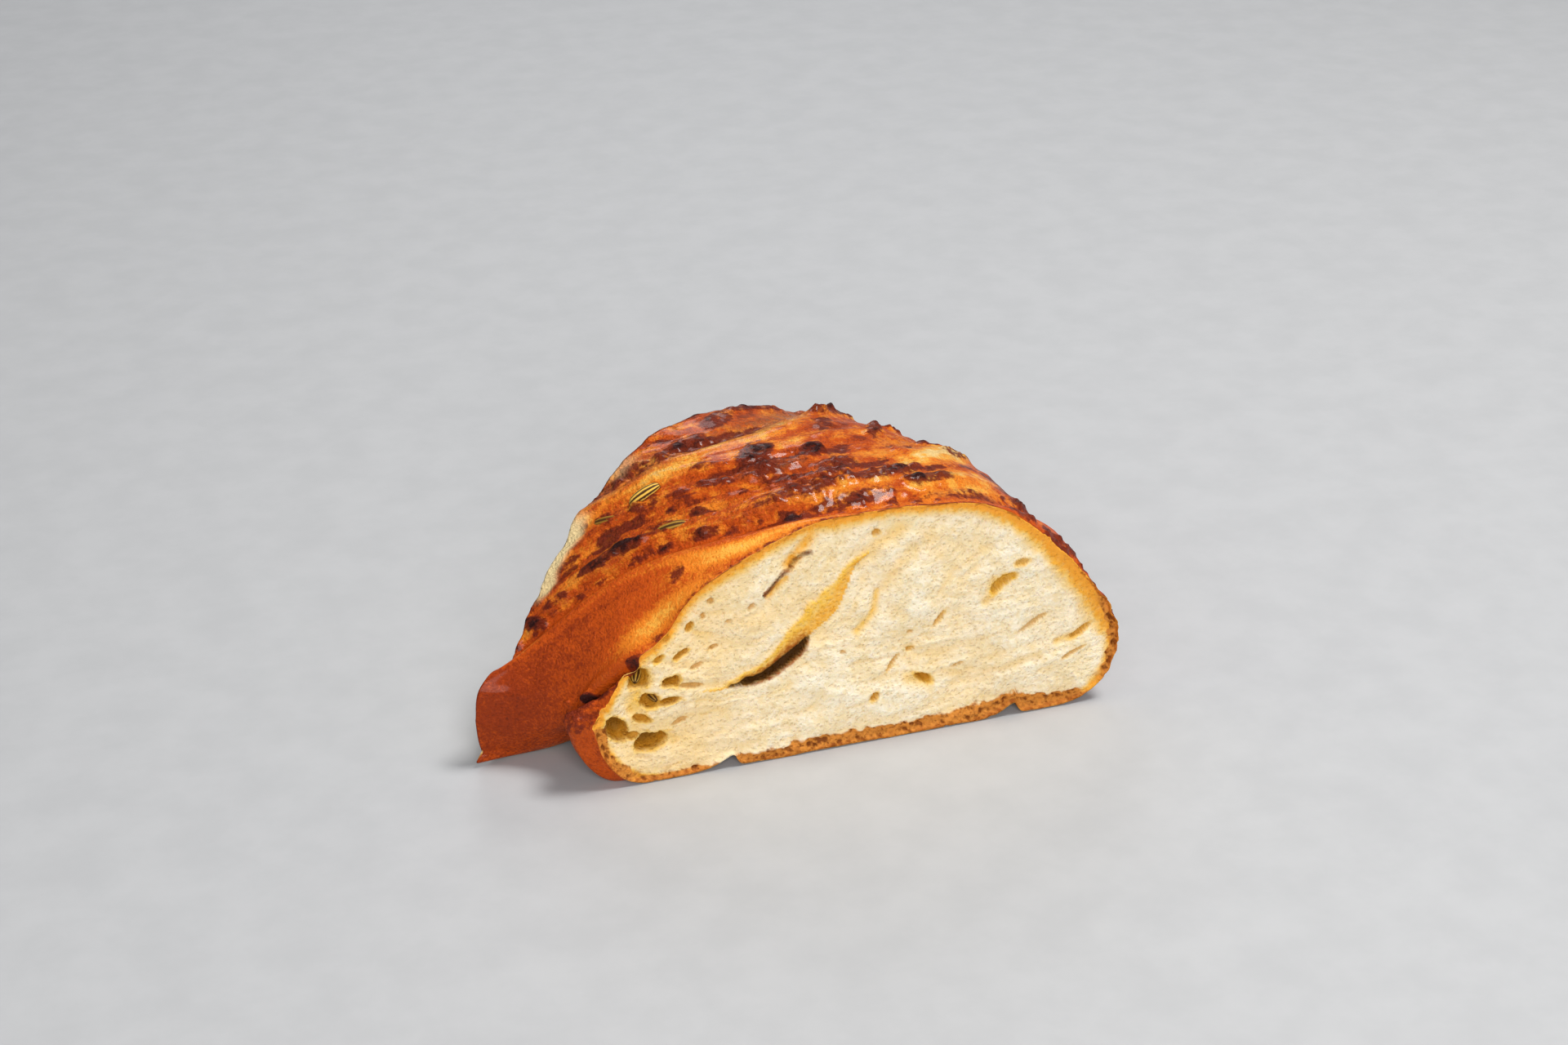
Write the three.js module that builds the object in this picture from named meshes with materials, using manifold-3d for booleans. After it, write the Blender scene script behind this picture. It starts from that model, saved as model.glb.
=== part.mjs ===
// Cheese kringle: one wedge cut from a twisted ring loaf, baked with cheese on and in its folds,
// and the fennel seeds bedded in its crust and its crumb.
// Millimetres, +Z up. The slice stands on its baked base, and the first knife cut faces -Y.

import * as THREE from 'three';
import { ParametricGeometry } from 'three/addons/geometries/ParametricGeometry.js';
import { mergeVertices } from 'three/addons/utils/BufferGeometryUtils.js';
import Module from 'manifold-3d';

// ---- Driving dimensions ----------------------------------------------------------------------

// The loaf is a ring. Its axis stands upright at the origin of the ring frame used below, the first
// cut lies in the plane y = 0 and the second is turned away from it by the wedge's angle.
const WEDGE = THREE.MathUtils.degToRad(30);

// Four cross-sections, evenly spread over the wedge from the first cut to the second. All are
// [distance from the ring's axis, height]. The crust runs from the inner edge over the top to the
// outer edge; inner and outer are where the base's rounded edges meet the flat that it stands on.
const SECTIONS = [
  {
    crust: [[47, 14], [49, 17.5], [52.5, 23.5], [56, 27.5], [61, 31.5], [66.5, 38.5], [76, 44.3],
      [86, 48], [98, 49.4], [110, 48.9], [122, 47.3], [132, 42], [142, 32.5], [149, 23], [152.5, 15]],
    inner: 57,
    outer: 139,
  },
  {
    crust: [[44.5, 13], [46.5, 18], [50, 25], [55, 32], [61, 38], [68, 43], [76, 47], [85, 50],
      [97, 51.2], [110, 50.8], [124, 48.3], [135.4, 41.5], [145, 30.6], [149.7, 22], [152, 14]],
    inner: 65,
    outer: 140,
  },
  {
    crust: [[38.5, 9], [40, 16], [43.5, 21.5], [48, 27], [53, 33], [59, 39], [66, 44.5], [74, 49.5],
      [85, 52], [97.6, 52.1], [111.2, 50.4], [123.6, 45.8], [134.8, 37.8], [144.8, 25.8], [150.5, 14]],
    inner: 50,
    outer: 138,
  },
  {
    crust: [[31.5, 10.5], [33, 16.5], [38.5, 19], [44, 23], [47.5, 28.5], [51, 32], [55, 36.6],
      [60.4, 41.8], [67.5, 45.8], [75.3, 50.6], [84, 52.5], [96.4, 51.6], [108.6, 48.5], [120.8, 43],
      [132.4, 34.6], [142, 24], [148, 15]],
    inner: 36,
    outer: 137,
  },
];
const BASE_EDGE = 0.15;     // how much of the way across each rounded edge of the base takes

// The dough was twisted, so furrows run between its strands. Each is a line over the crust, as
// [way across the crust from its inner to its outer edge, way round from the first to the second cut].
const FURROWS = [
  [[0.10, 1.02], [0.20, 0.62], [0.30, 0.28], [0.42, 0.12], [0.58, 0.08], [0.74, 0.12], [0.92, 0.3]],
  [[0.33, 1.02], [0.40, 0.85], [0.50, 0.77], [0.62, 0.82], [0.72, 0.95]],
  [[0.66, 0.44], [0.76, 0.56], [0.88, 0.7], [1.0, 0.78]],
];
const FURROW_DEPTH = 1.5;
const FURROW_WIDTH = 4;
const FURROW_STEPS = 24;
const CRUST_ACROSS = 145;   // length of the crust from its inner to its outer edge
const CRUST_ROUND = 50;     // length of the crust from cut to cut, at mid width

// How finely the loaf's skin is divided.
const STEPS_ROUND_SECTION = 100;
const STEPS_IN_CUT = 3;
const STEPS_OVER_WEDGE = 17;
const SPINE_INSET = 0.05;   // how far the middle line of a cut stays from the section's two tips

// Hollows in the first cut, as [distance from the ring's axis, height].
const FOLD = {
  outline: [[72.5, 16.9], [77, 19.2], [82, 21], [86, 25.5], [88.5, 30], [91, 33], [91.8, 32],
    [89.6, 27.5], [86, 22.5], [82, 19], [77, 16.6]],
  depth: 9,
};
const TEAR = {
  outline: [[79.5, 35.8], [83, 39.2], [86.5, 42.2], [89.5, 43.4], [87, 40.8], [83.5, 37.8], [80.8, 35.4]],
  depth: 4,
};
const BUBBLE_STEPS = [14, 10];
const BUBBLE_SINK = 0.25;   // how far a bubble's middle lies behind the cut, for its half depth
const BUBBLES = [
  { at: [52.6, 12.2], half: [1.9, 3.4, 3.2], lean: 0.5 },
  { at: [57.6, 8.5], half: [2.9, 3.2, 1.6], lean: 0.1 },
  { at: [62.2, 21], half: [1.9, 2.2, 1.3], lean: -0.2 },
  { at: [56.2, 22.8], half: [1.9, 2, 2.1], lean: 0 },
  { at: [58.6, 17.8], half: [2.3, 2, 1.5], lean: 0.3 },
];

// Seams where the strands meet under the loaf: a three-sided cleft at the cut that runs out inwards.
const SEAMS = [
  { from: 73.6, height: 3.2, length: 24 },
  { from: 131, height: 3, length: 20 },
];
const SEAM_SPREAD = 1.35;   // how wide a cleft's mouth is for its height
const CUT_OVERRUN = 1;      // how far the solids that cut the hollows reach out of the first cut

// Fennel seeds. Crust seeds give their place over the crust as the furrows do, and turn is the angle
// of their length from the way across; rise is the height of a seed's middle above the crust. Crumb
// seeds give distance from the ring's axis and height.
const SEED = { length: 6.8, width: 2.5, bluntness: 0.8, clearance: 0.3, sides: 10, rings: 8 };
const CRUST_SEEDS = [
  { across: 0.345, round: 0.717, turn: -0.35, rise: 0.35 },
  { across: 0.301, round: 0.462, turn: -0.56, rise: -0.45 },
  { across: 0.303, round: 0.817, turn: -0.9, rise: -0.7 },
  { across: 0.8, round: 0.78, turn: 0.5, rise: 0.1 },
];
const CRUMB_SEEDS = [
  { at: [56.2, 22.8], inset: 4.1, lean: [0.35, 0.25] },
  { at: [58.3, 17.9], inset: 4.1, lean: [-0.3, 0.2] },
];

// ---- The loaf's skin -------------------------------------------------------------------------

const toVector = ([x, y]) => new THREE.Vector2(x, y);
const crustCurves = SECTIONS.map(({ crust }) => new THREE.SplineCurve(crust.map(toVector)));
const furrowLines = FURROWS.map((line) => new THREE.SplineCurve(line.map(toVector)).getPoints(FURROW_STEPS));

// The base of one section: a quarter of an ellipse at each edge and a straight line between them.
function basePoint(section, way) {
  const [inner, outer] = [section.crust[0], section.crust.at(-1)];
  const inside = way < 0.5;
  const [tip, foot] = inside ? [inner, section.inner] : [outer, section.outer];
  const fromEdge = inside ? way : 1 - way;
  if (fromEdge < BASE_EDGE) {
    const turn = (fromEdge / BASE_EDGE) * (Math.PI / 2);
    return new THREE.Vector2(foot + (tip[0] - foot) * Math.cos(turn), tip[1] * (1 - Math.sin(turn)));
  }
  const along = THREE.MathUtils.mapLinear(way, BASE_EDGE, 1 - BASE_EDGE, section.inner, section.outer);
  return new THREE.Vector2(along, 0);
}

// A point of the outline between the sections, on the crust or on the base.
function outlinePoint(onCrust, across, round) {
  const points = SECTIONS.map((section, i) => (
    onCrust ? crustCurves[i].getPointAt(across) : basePoint(section, across)));
  return new THREE.SplineCurve(points).getPoint(round);
}

// How deep the furrows are at a place on the crust: each is a smooth valley about its line.
function furrowDepth(across, round) {
  let depth = 0;
  for (const line of furrowLines) {
    const distance = Math.min(...line.map((p) => (
      Math.hypot((p.x - across) * CRUST_ACROSS, (p.y - round) * CRUST_ROUND))));
    depth = Math.max(depth, FURROW_DEPTH * Math.exp(-((distance / FURROW_WIDTH) ** 2)));
  }
  return depth;
}

// The whole outline as one loop: 0 to 0.5 is the crust, 0.5 to 1 the base back to the inner edge.
function loopPoint(loop, round) {
  const onCrust = loop <= 0.5;
  const across = onCrust ? 2 * loop : 2 - 2 * loop;
  const point = outlinePoint(onCrust, across, round);
  if (onCrust) {
    const towardsEdge = Math.sin(Math.PI * across);
    point.y -= furrowDepth(across, round) * towardsEdge;
  }
  return point;
}

// The middle line of a cut, halfway between the crust and the base.
function spinePoint(loop, round) {
  const across = loop <= 0.5 ? 2 * loop : 2 - 2 * loop;
  const inset = SPINE_INSET + (1 - 2 * SPINE_INSET) * across;
  const crust = outlinePoint(true, inset, round);
  return crust.add(outlinePoint(false, inset, round)).multiplyScalar(0.5);
}

// The skin is one closed sheet: from the first cut's middle line out to its edge, round the wedge
// to the second cut's edge, and in to that cut's middle line.
function skinPoint(loop, along, target) {
  const steps = STEPS_IN_CUT * 2 + STEPS_OVER_WEDGE;
  const step = along * steps;
  const round = THREE.MathUtils.clamp((step - STEPS_IN_CUT) / STEPS_OVER_WEDGE, 0, 1);
  const fromEnd = Math.min(step, steps - step);
  const outwards = Math.min(fromEnd / STEPS_IN_CUT, 1);
  const point = loopPoint(loop, round);
  point.lerp(spinePoint(loop, round), 1 - outwards);
  const angle = round * WEDGE;
  target.set(point.x * Math.cos(angle), point.x * Math.sin(angle), Math.max(point.y, 0));
}

// ---- Solids ----------------------------------------------------------------------------------

const wasm = await Module();
wasm.setup();

// A geometry with its shared vertices merged and its collapsed triangles dropped, as a solid.
function toSolid(geometry) {
  const bare = geometry.clone();
  bare.deleteAttribute('normal');
  bare.deleteAttribute('uv');
  const merged = mergeVertices(bare, 1e-4);
  const index = merged.index.array;
  const triangles = [];
  for (let i = 0; i < index.length; i += 3) {
    const [a, b, c] = index.slice(i, i + 3);
    if (a !== b && b !== c && c !== a) triangles.push(a, b, c);
  }
  return new wasm.Manifold(new wasm.Mesh({
    numProp: 3,
    vertProperties: new Float32Array(merged.attributes.position.array),
    triVerts: new Uint32Array(triangles),
  }));
}

function toGeometry(solid) {
  const mesh = solid.getMesh();
  const geometry = new THREE.BufferGeometry();
  geometry.setAttribute('position', new THREE.BufferAttribute(mesh.vertProperties, 3));
  geometry.setIndex(new THREE.BufferAttribute(mesh.triVerts, 1));
  geometry.computeVertexNormals();
  return geometry;
}

// A hollow with a free outline in the first cut, straight back into the crumb.
function hollowFromOutline({ outline, depth }) {
  const edge = new THREE.SplineCurve([...outline, outline[0]].map(toVector));
  const shape = new THREE.Shape(edge.getPoints(outline.length * 2).slice(0, -1));
  const geometry = new THREE.ExtrudeGeometry(shape, { depth: depth + CUT_OVERRUN, bevelEnabled: false });
  // The outline was drawn in XY; standing it up sends the extrusion towards -Y, so it is moved back.
  return geometry.rotateX(Math.PI / 2).translate(0, depth, 0);
}

// A gas bubble opened by the knife.
function bubble({ at, half, lean }) {
  const geometry = new THREE.SphereGeometry(1, ...BUBBLE_STEPS).scale(...half);
  return geometry.rotateY(lean).translate(at[0], half[1] * BUBBLE_SINK, at[1]);
}

// A cleft under the loaf: a cone with three sides along Y, its mouth at the cut and its tip inwards.
// One corner points up, and the other two lie under the base, half the cleft's height down.
function seam({ from, height, length }) {
  const geometry = new THREE.ConeGeometry(1, length, 3).scale(height * SEAM_SPREAD, 1, height);
  return geometry.translate(from, length / 2 - CUT_OVERRUN, 0);
}

// ---- Seeds -----------------------------------------------------------------------------------

// A spindle along X: full in the middle and drawn in to blunt points.
function seedGeometry(extra = 0) {
  const profile = Array.from({ length: SEED.rings + 1 }, (_, i) => {
    const angle = (i / SEED.rings) * Math.PI;
    const radius = (SEED.width / 2 + extra) * Math.sin(angle) ** SEED.bluntness;
    const ends = i === 0 || i === SEED.rings;
    return new THREE.Vector2(ends ? 0 : radius, -(SEED.length / 2 + extra) * Math.cos(angle));
  });
  return new THREE.LatheGeometry(profile, SEED.sides).rotateZ(-Math.PI / 2);
}

function skinAt(across, round) {
  const point = loopPoint(across / 2, round);
  const angle = round * WEDGE;
  return new THREE.Vector3(point.x * Math.cos(angle), point.x * Math.sin(angle), point.y);
}

// The place of a crust seed: lying along the crust at its turn, half sunk in it.
function crustSeedPlace({ across, round, turn, rise }) {
  const STEP = 0.01;
  const wayAcross = skinAt(across + STEP, round).sub(skinAt(across - STEP, round)).normalize();
  const wayRound = skinAt(across, round + STEP).sub(skinAt(across, round - STEP)).normalize();
  const up = new THREE.Vector3().crossVectors(wayAcross, wayRound).normalize();
  const length = wayAcross.clone().applyAxisAngle(up, turn);
  const side = new THREE.Vector3().crossVectors(up, length);
  const place = new THREE.Matrix4().makeBasis(length, side, up);
  return place.setPosition(skinAt(across, round).addScaledVector(up, rise));
}

// The place of a crumb seed: its end shows in the first cut and its length leans into the crumb.
function crumbSeedPlace({ at, inset, lean }) {
  const length = new THREE.Vector3(lean[0], 1, lean[1]).normalize();
  const side = new THREE.Vector3(0, 0, 1).cross(length).normalize();
  const up = new THREE.Vector3().crossVectors(length, side);
  const place = new THREE.Matrix4().makeBasis(length, side, up);
  return place.setPosition(at[0], inset, at[1]);
}

const seedPlaces = [...CRUST_SEEDS.map(crustSeedPlace), ...CRUMB_SEEDS.map(crumbSeedPlace)];

// ---- Assembly --------------------------------------------------------------------------------

const bread = new THREE.MeshStandardMaterial({ color: 0xc47a35, roughness: 0.45, metalness: 0 });
const husk = new THREE.MeshStandardMaterial({ color: 0xa39a4e, roughness: 0.6, metalness: 0 });

function makeSlice() {
  const skin = new ParametricGeometry(
    skinPoint, STEPS_ROUND_SECTION, STEPS_IN_CUT * 2 + STEPS_OVER_WEDGE);
  const pockets = seedPlaces.map((place) => seedGeometry(SEED.clearance).applyMatrix4(place));
  const hollows = [
    ...[FOLD, TEAR].map(hollowFromOutline), ...BUBBLES.map(bubble), ...SEAMS.map(seam), ...pockets,
  ];
  const slice = hollows.map(toSolid).reduce((solid, hollow) => solid.subtract(hollow), toSolid(skin));
  const mesh = new THREE.Mesh(toGeometry(slice), bread);
  mesh.name = 'kringle_slice';
  return mesh;
}

function makeSeed(place, i) {
  const mesh = new THREE.Mesh(seedGeometry(), husk);
  mesh.name = `fennel_seed_${i + 1}`;
  mesh.applyMatrix4(place);
  return mesh;
}

const kringle = new THREE.Group();
kringle.add(makeSlice(), ...seedPlaces.map(makeSeed));

// The slice's own origin is the middle of the area it covers, on the surface it stands on.
const middle = new THREE.Box3().setFromObject(kringle).getCenter(new THREE.Vector3());
kringle.position.set(-middle.x, -middle.y, 0);

export default kringle;
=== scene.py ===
"""Cheese kringle slice: the looks of one wedge of a twisted ring loaf and the fennel seeds in it.

Lengths in the classes are millimetres in the ring frame: the ring's axis stands upright at the
origin, the first knife cut lies in the plane y = 0 and the second is turned away from it by the
wedge's angle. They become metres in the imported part's frame when a mesh is made.
"""

import logging
import math
from dataclasses import dataclass
from enum import Enum

import bpy
import numpy as np
from mathutils import Matrix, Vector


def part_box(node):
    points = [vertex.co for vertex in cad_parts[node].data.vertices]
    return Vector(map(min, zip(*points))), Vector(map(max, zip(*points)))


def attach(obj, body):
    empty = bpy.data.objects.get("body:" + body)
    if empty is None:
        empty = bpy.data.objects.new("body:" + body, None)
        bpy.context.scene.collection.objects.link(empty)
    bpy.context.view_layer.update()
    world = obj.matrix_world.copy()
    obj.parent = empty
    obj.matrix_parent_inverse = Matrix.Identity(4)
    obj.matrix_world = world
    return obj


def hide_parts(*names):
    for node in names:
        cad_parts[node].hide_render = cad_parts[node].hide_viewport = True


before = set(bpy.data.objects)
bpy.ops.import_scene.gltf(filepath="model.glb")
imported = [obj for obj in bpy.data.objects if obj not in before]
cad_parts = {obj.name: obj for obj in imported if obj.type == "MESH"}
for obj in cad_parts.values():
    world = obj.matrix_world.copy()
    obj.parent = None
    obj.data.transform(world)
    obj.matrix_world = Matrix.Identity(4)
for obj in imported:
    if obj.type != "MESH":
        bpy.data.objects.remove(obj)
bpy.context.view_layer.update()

LOG = logging.getLogger("kringle")
Array = np.ndarray
Pair = tuple[float, float]
Colour = tuple[float, float, float]

MM = 0.001
WEDGE = math.radians(30.0)
RING_OUTER = 152.5
CRUST_ACROSS = 145.0
CRUST_ROUND = 50.0

# The least width that a step over a stained edge is worked out for.
THINNEST = 1e-6

# How many points a curve is worked out at: between two of its knots, along the crust's whole
# outline, along a path on the crust, a fold and a stain.
KNOT_STEPS = 24
OUTLINE_POINTS = 600
PATH_POINTS = 40
FOLD_POINTS = 60
STAIN_POINTS = 30

# The bread's masks: those of the crust and base, and those of the cuts.
CRUST_MASKS = ("bake", "char", "cheese", "base", "bare", "above")
# Two of the cuts' masks paint light: one is painted shade in pores and holes, the other a painted shadow in
# deep holes and the fold's gap.
CRUMB_MASKS = ("hollow", "deep", "butter", "toast", "soak", "brown")

# Numbers that stir a cell's coordinates until they look random.
WORD = 2**32
SEED_STEP = 2654435761
HASH_PRIMES = (73856093, 19349663, 83492791)
HASH_STIRS = ((15, 2246822519), (13, 3266489917))
LAST_SHIFT = 16


# ---- Numbers on whole arrays -------------------------------------------------------------------


def smooth(low: float | Array, high: float | Array, x: Array) -> Array:
    """Smooth step from 0 at low to 1 at high: 3t squared less 2t cubed.

    Args:
        low: where the step starts.
        high: where the step ends; it may lie below low, which turns the step round.
        x: the values to step.

    Returns:
        Numbers from 0 to 1.
    """
    t = np.clip((x - low) / (high - low), 0.0, 1.0)
    return t * t * (3.0 - 2.0 * t)


def mix(a: Array | float, b: Array | float, t: Array) -> Array:
    """Straight blend from a, where t is 0, to b, where t is 1."""
    return a * (1.0 - t) + b * t


def scramble(cells: Array, seed: int) -> Array:
    """A number from 0 to 1 for every whole-number cell, always the same for the same seed.

    Args:
        cells: integers with the cell's coordinates in the last axis.
        seed: chooses the sequence.

    Returns:
        One number per cell.
    """
    with np.errstate(over="ignore"):
        mixed = np.full(cells.shape[:-1], seed * SEED_STEP % WORD, dtype=np.uint32)
        for axis, prime in enumerate(HASH_PRIMES[: cells.shape[-1]]):
            place = (cells[..., axis].astype(np.int64) & (WORD - 1)).astype(np.uint32)
            mixed = mixed ^ place * np.uint32(prime)
            for shift, factor in HASH_STIRS:
                mixed = (mixed ^ (mixed >> np.uint32(shift))) * np.uint32(factor)
            mixed = mixed ^ (mixed >> np.uint32(LAST_SHIFT))
    return mixed.astype(np.float64) / (WORD - 1)


def value_noise(points: Array, seed: int) -> Array:
    """Smooth noise: random values at the whole-number corners round a point, blended quintically.

    Args:
        points: coordinates in the last axis, two or three of them, one cell per unit.
        seed: chooses the noise.

    Returns:
        Numbers from -1 to 1.
    """
    corner = np.floor(points)
    part = points - corner
    ease = part**3 * (part * (part * 6.0 - 15.0) + 10.0)
    corner = corner.astype(np.int64)
    total = np.zeros(points.shape[:-1])
    for step in np.ndindex(*(2,) * points.shape[-1]):
        weight = np.prod(np.where(np.array(step) == 1, ease, 1.0 - ease), axis=-1)
        total += weight * scramble(corner + np.array(step), seed)
    return 2.0 * total - 1.0


def layered_noise(points: Array, size: float, seed: int, layers: int = 3) -> Array:
    """Sum of value noises, each half the size and half the strength of the one before.

    Args:
        points: coordinates in the last axis.
        size: the largest noise's cell, in the points' unit.
        seed: chooses the noise.
        layers: how many noises are summed.

    Returns:
        Numbers between about -1 and 1.
    """
    total = np.zeros(points.shape[:-1])
    for layer in range(layers):
        total += value_noise(points * (2.0**layer / size), seed + 17 * layer) / 2.0**layer
    return total / (2.0 - 2.0 ** (1 - layers))


def bowls(points: Array, size: float, seed: int, share: float, small: float, large: float) -> Array:
    """Round bowls scattered one to a cell: the root of one less the squared distance over radius.

    Args:
        points: coordinates in the last axis, two or three of them.
        size: the side of a cell, in the points' unit.
        seed: chooses the scatter.
        share: the part of the cells that hold a bowl.
        small: the smallest bowl's radius, in cells.
        large: the largest bowl's radius, in cells.

    Returns:
        Each point's depth in the deepest bowl over it, in cells, 0 outside them all.
    """
    scaled = points / size
    home = np.floor(scaled).astype(np.int64)
    deepest = np.zeros(points.shape[:-1])
    axes = points.shape[-1]
    for step in np.ndindex(*(3,) * axes):
        cell = home + np.array(step) - 1
        centre = cell + np.stack([scramble(cell, seed + 31 * (k + 1)) for k in range(axes)], axis=-1)
        radius = small + (large - small) * scramble(cell, seed + 5) ** 2
        near = 1.0 - ((scaled - centre) ** 2).sum(axis=-1) / radius**2
        depth = np.where(scramble(cell, seed + 9) < share, radius * np.sqrt(np.clip(near, 0.0, None)), 0.0)
        deepest = np.maximum(deepest, depth)
    return deepest


def spline(points: Array, count: int) -> Array:
    """A Catmull-Rom curve through the points, resampled at equal lengths.

    Args:
        points: the points, one to a row.
        count: how many points to return.

    Returns:
        The resampled points, one to a row.
    """
    ends = np.vstack([2 * points[0] - points[1], points, 2 * points[-1] - points[-2]])
    t = np.linspace(0.0, 1.0, KNOT_STEPS, endpoint=False)[:, None]
    pieces = [hermite(*ends[i - 1 : i + 3], t) for i in range(1, len(ends) - 2)]
    dense = np.vstack([*pieces, ends[-2][None]])
    length = np.concatenate([[0.0], np.cumsum(np.linalg.norm(np.diff(dense, axis=0), axis=1))])
    wanted = np.linspace(0.0, length[-1], count)
    return np.stack([np.interp(wanted, length, dense[:, k]) for k in range(dense.shape[1])], axis=1)


def hermite(before: Array, start: Array, end: Array, after: Array, t: Array) -> Array:
    """The Catmull-Rom cubic between start and end: its slope at each is half the chord past it.

    Args:
        before: the knot before start.
        start: the knot at t = 0.
        end: the knot at t = 1.
        after: the knot after end.
        t: the way from start to end.

    Returns:
        Points on the curve.
    """
    return 0.5 * (
        2.0 * start
        + (end - before) * t
        + (2.0 * before - 5.0 * start + 4.0 * end - after) * t**2
        + (3.0 * start - before - 3.0 * end + after) * t**3
    )


@dataclass(frozen=True)
class PathDistance:
    """How far points lie from a path and where along it their nearest place is."""

    distance: Array
    side: Array
    along: Array


def distance_to_path(points: Array, path: Array) -> PathDistance:
    """The nearest place on a path of straight pieces, for every point at once.

    Args:
        points: pairs in the last axis.
        path: the path's points, one to a row.

    Returns:
        The distances; the side, positive to the left of the path's way; and the way along, 0 to 1.
    """
    start = path[:-1]
    step = path[1:] - start
    offset = points[..., None, :] - start
    share = np.clip((offset * step).sum(-1) / (step**2).sum(-1), 0.0, 1.0)
    gap = offset - share[..., None] * step
    squared = (gap**2).sum(-1)
    nearest = squared.argmin(-1)
    pick = np.expand_dims(nearest, -1)
    cross = step[:, 0] * offset[..., 1] - step[:, 1] * offset[..., 0]
    side = np.sign(np.take_along_axis(cross, pick, -1)[..., 0])
    along = (nearest + np.take_along_axis(share, pick, -1)[..., 0]) / len(step)
    return PathDistance(np.sqrt(np.take_along_axis(squared, pick, -1)[..., 0]), side, along)


def blob(offset: Array, half_long: float, half_short: float, turn: float) -> Array:
    """Squared distance from an oval's middle, 1 on its edge.

    Args:
        offset: pairs in the last axis, measured from the middle.
        half_long: half of the oval's length.
        half_short: half of its width.
        turn: the angle of its length from the first axis, in degrees.

    Returns:
        0 in the middle and 1 on the edge.
    """
    c, s = math.cos(math.radians(turn)), math.sin(math.radians(turn))
    long_way = offset[..., 0] * c + offset[..., 1] * s
    short_way = offset[..., 1] * c - offset[..., 0] * s
    return (long_way / half_long) ** 2 + (short_way / half_short) ** 2


def bell(x: Array, width: float | Array) -> Array:
    """A bell curve: e to the power of minus the square of x over the width."""
    return np.exp(-((x / width) ** 2))


def table(pairs: tuple[Pair, ...], x: Array) -> Array:
    """Values read off a line through (x, value) pairs."""
    return np.interp(x, *zip(*pairs))


def rows(kind: type, values: tuple[tuple, ...]) -> tuple:
    """One object of a kind for each row of its values."""
    return tuple(kind(*row) for row in values)


# ---- The loaf's form ---------------------------------------------------------------------------


@dataclass(frozen=True)
class CrossSection:
    """One section of the ring: the crust as (distance from the axis, height), and the base's feet."""

    crust: tuple[Pair, ...]
    inner: float
    outer: float

    def crust_line(self, across: Array) -> Array:
        """The crust at each share of its length, from the inner edge to the outer edge."""
        line = spline(np.array(self.crust), OUTLINE_POINTS)
        share = np.linspace(0.0, 1.0, len(line))
        return np.stack([np.interp(across, share, line[:, k]) for k in range(2)], axis=-1)

    def base_line(self, across: Array) -> Array:
        """The base: a quarter ellipse at each edge and a straight line on the floor between them.

        Args:
            across: shares of the way across, 0 at the inner edge.

        Returns:
            Pairs of distance from the axis and height.
        """
        edge = 0.15
        inside = across < 0.5
        tip = np.where(inside[..., None], self.crust[0], self.crust[-1])
        foot = np.where(inside, self.inner, self.outer)
        turn = np.clip(np.minimum(across, 1.0 - across) / edge, 0.0, 1.0) * (math.pi / 2)
        rounded = foot + (tip[..., 0] - foot) * np.cos(turn)
        flat = np.interp(across, (edge, 1.0 - edge), (self.inner, self.outer))
        middle = (across >= edge) & (across <= 1.0 - edge)
        return np.stack([np.where(middle, flat, rounded), tip[..., 1] * (1.0 - np.sin(turn))], axis=-1)


SECTIONS = (
    CrossSection(
        ((47, 14), (49, 17.5), (52.5, 23.5), (56, 27.5), (61, 31.5), (66.5, 38.5), (76, 44.3), (86, 48),
         (98, 49.4), (110, 48.9), (122, 47.3), (132, 42), (142, 32.5), (149, 23), (152.5, 15)),
        57, 139,
    ),
    CrossSection(
        ((44.5, 13), (46.5, 18), (50, 25), (55, 32), (61, 38), (68, 43), (76, 47), (85, 50),
         (97, 51.2), (110, 50.8), (124, 48.3), (135.4, 41.5), (145, 30.6), (149.7, 22), (152, 14)),
        65, 140,
    ),
    CrossSection(
        ((38.5, 9), (40, 16), (43.5, 21.5), (48, 27), (53, 33), (59, 39), (66, 44.5), (74, 49.5),
         (85, 52), (97.6, 52.1), (111.2, 50.4), (123.6, 45.8), (134.8, 37.8), (144.8, 25.8), (150.5, 14)),
        50, 138,
    ),
    CrossSection(
        ((31.5, 10.5), (33, 16.5), (38.5, 19), (44, 23), (47.5, 28.5), (51, 32), (55, 36.6),
         (60.4, 41.8), (67.5, 45.8), (75.3, 50.6), (84, 52.5), (96.4, 51.6), (108.6, 48.5), (120.8, 43),
         (132.4, 34.6), (142, 24), (148, 15)),
        36, 137,
    ),
)


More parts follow.
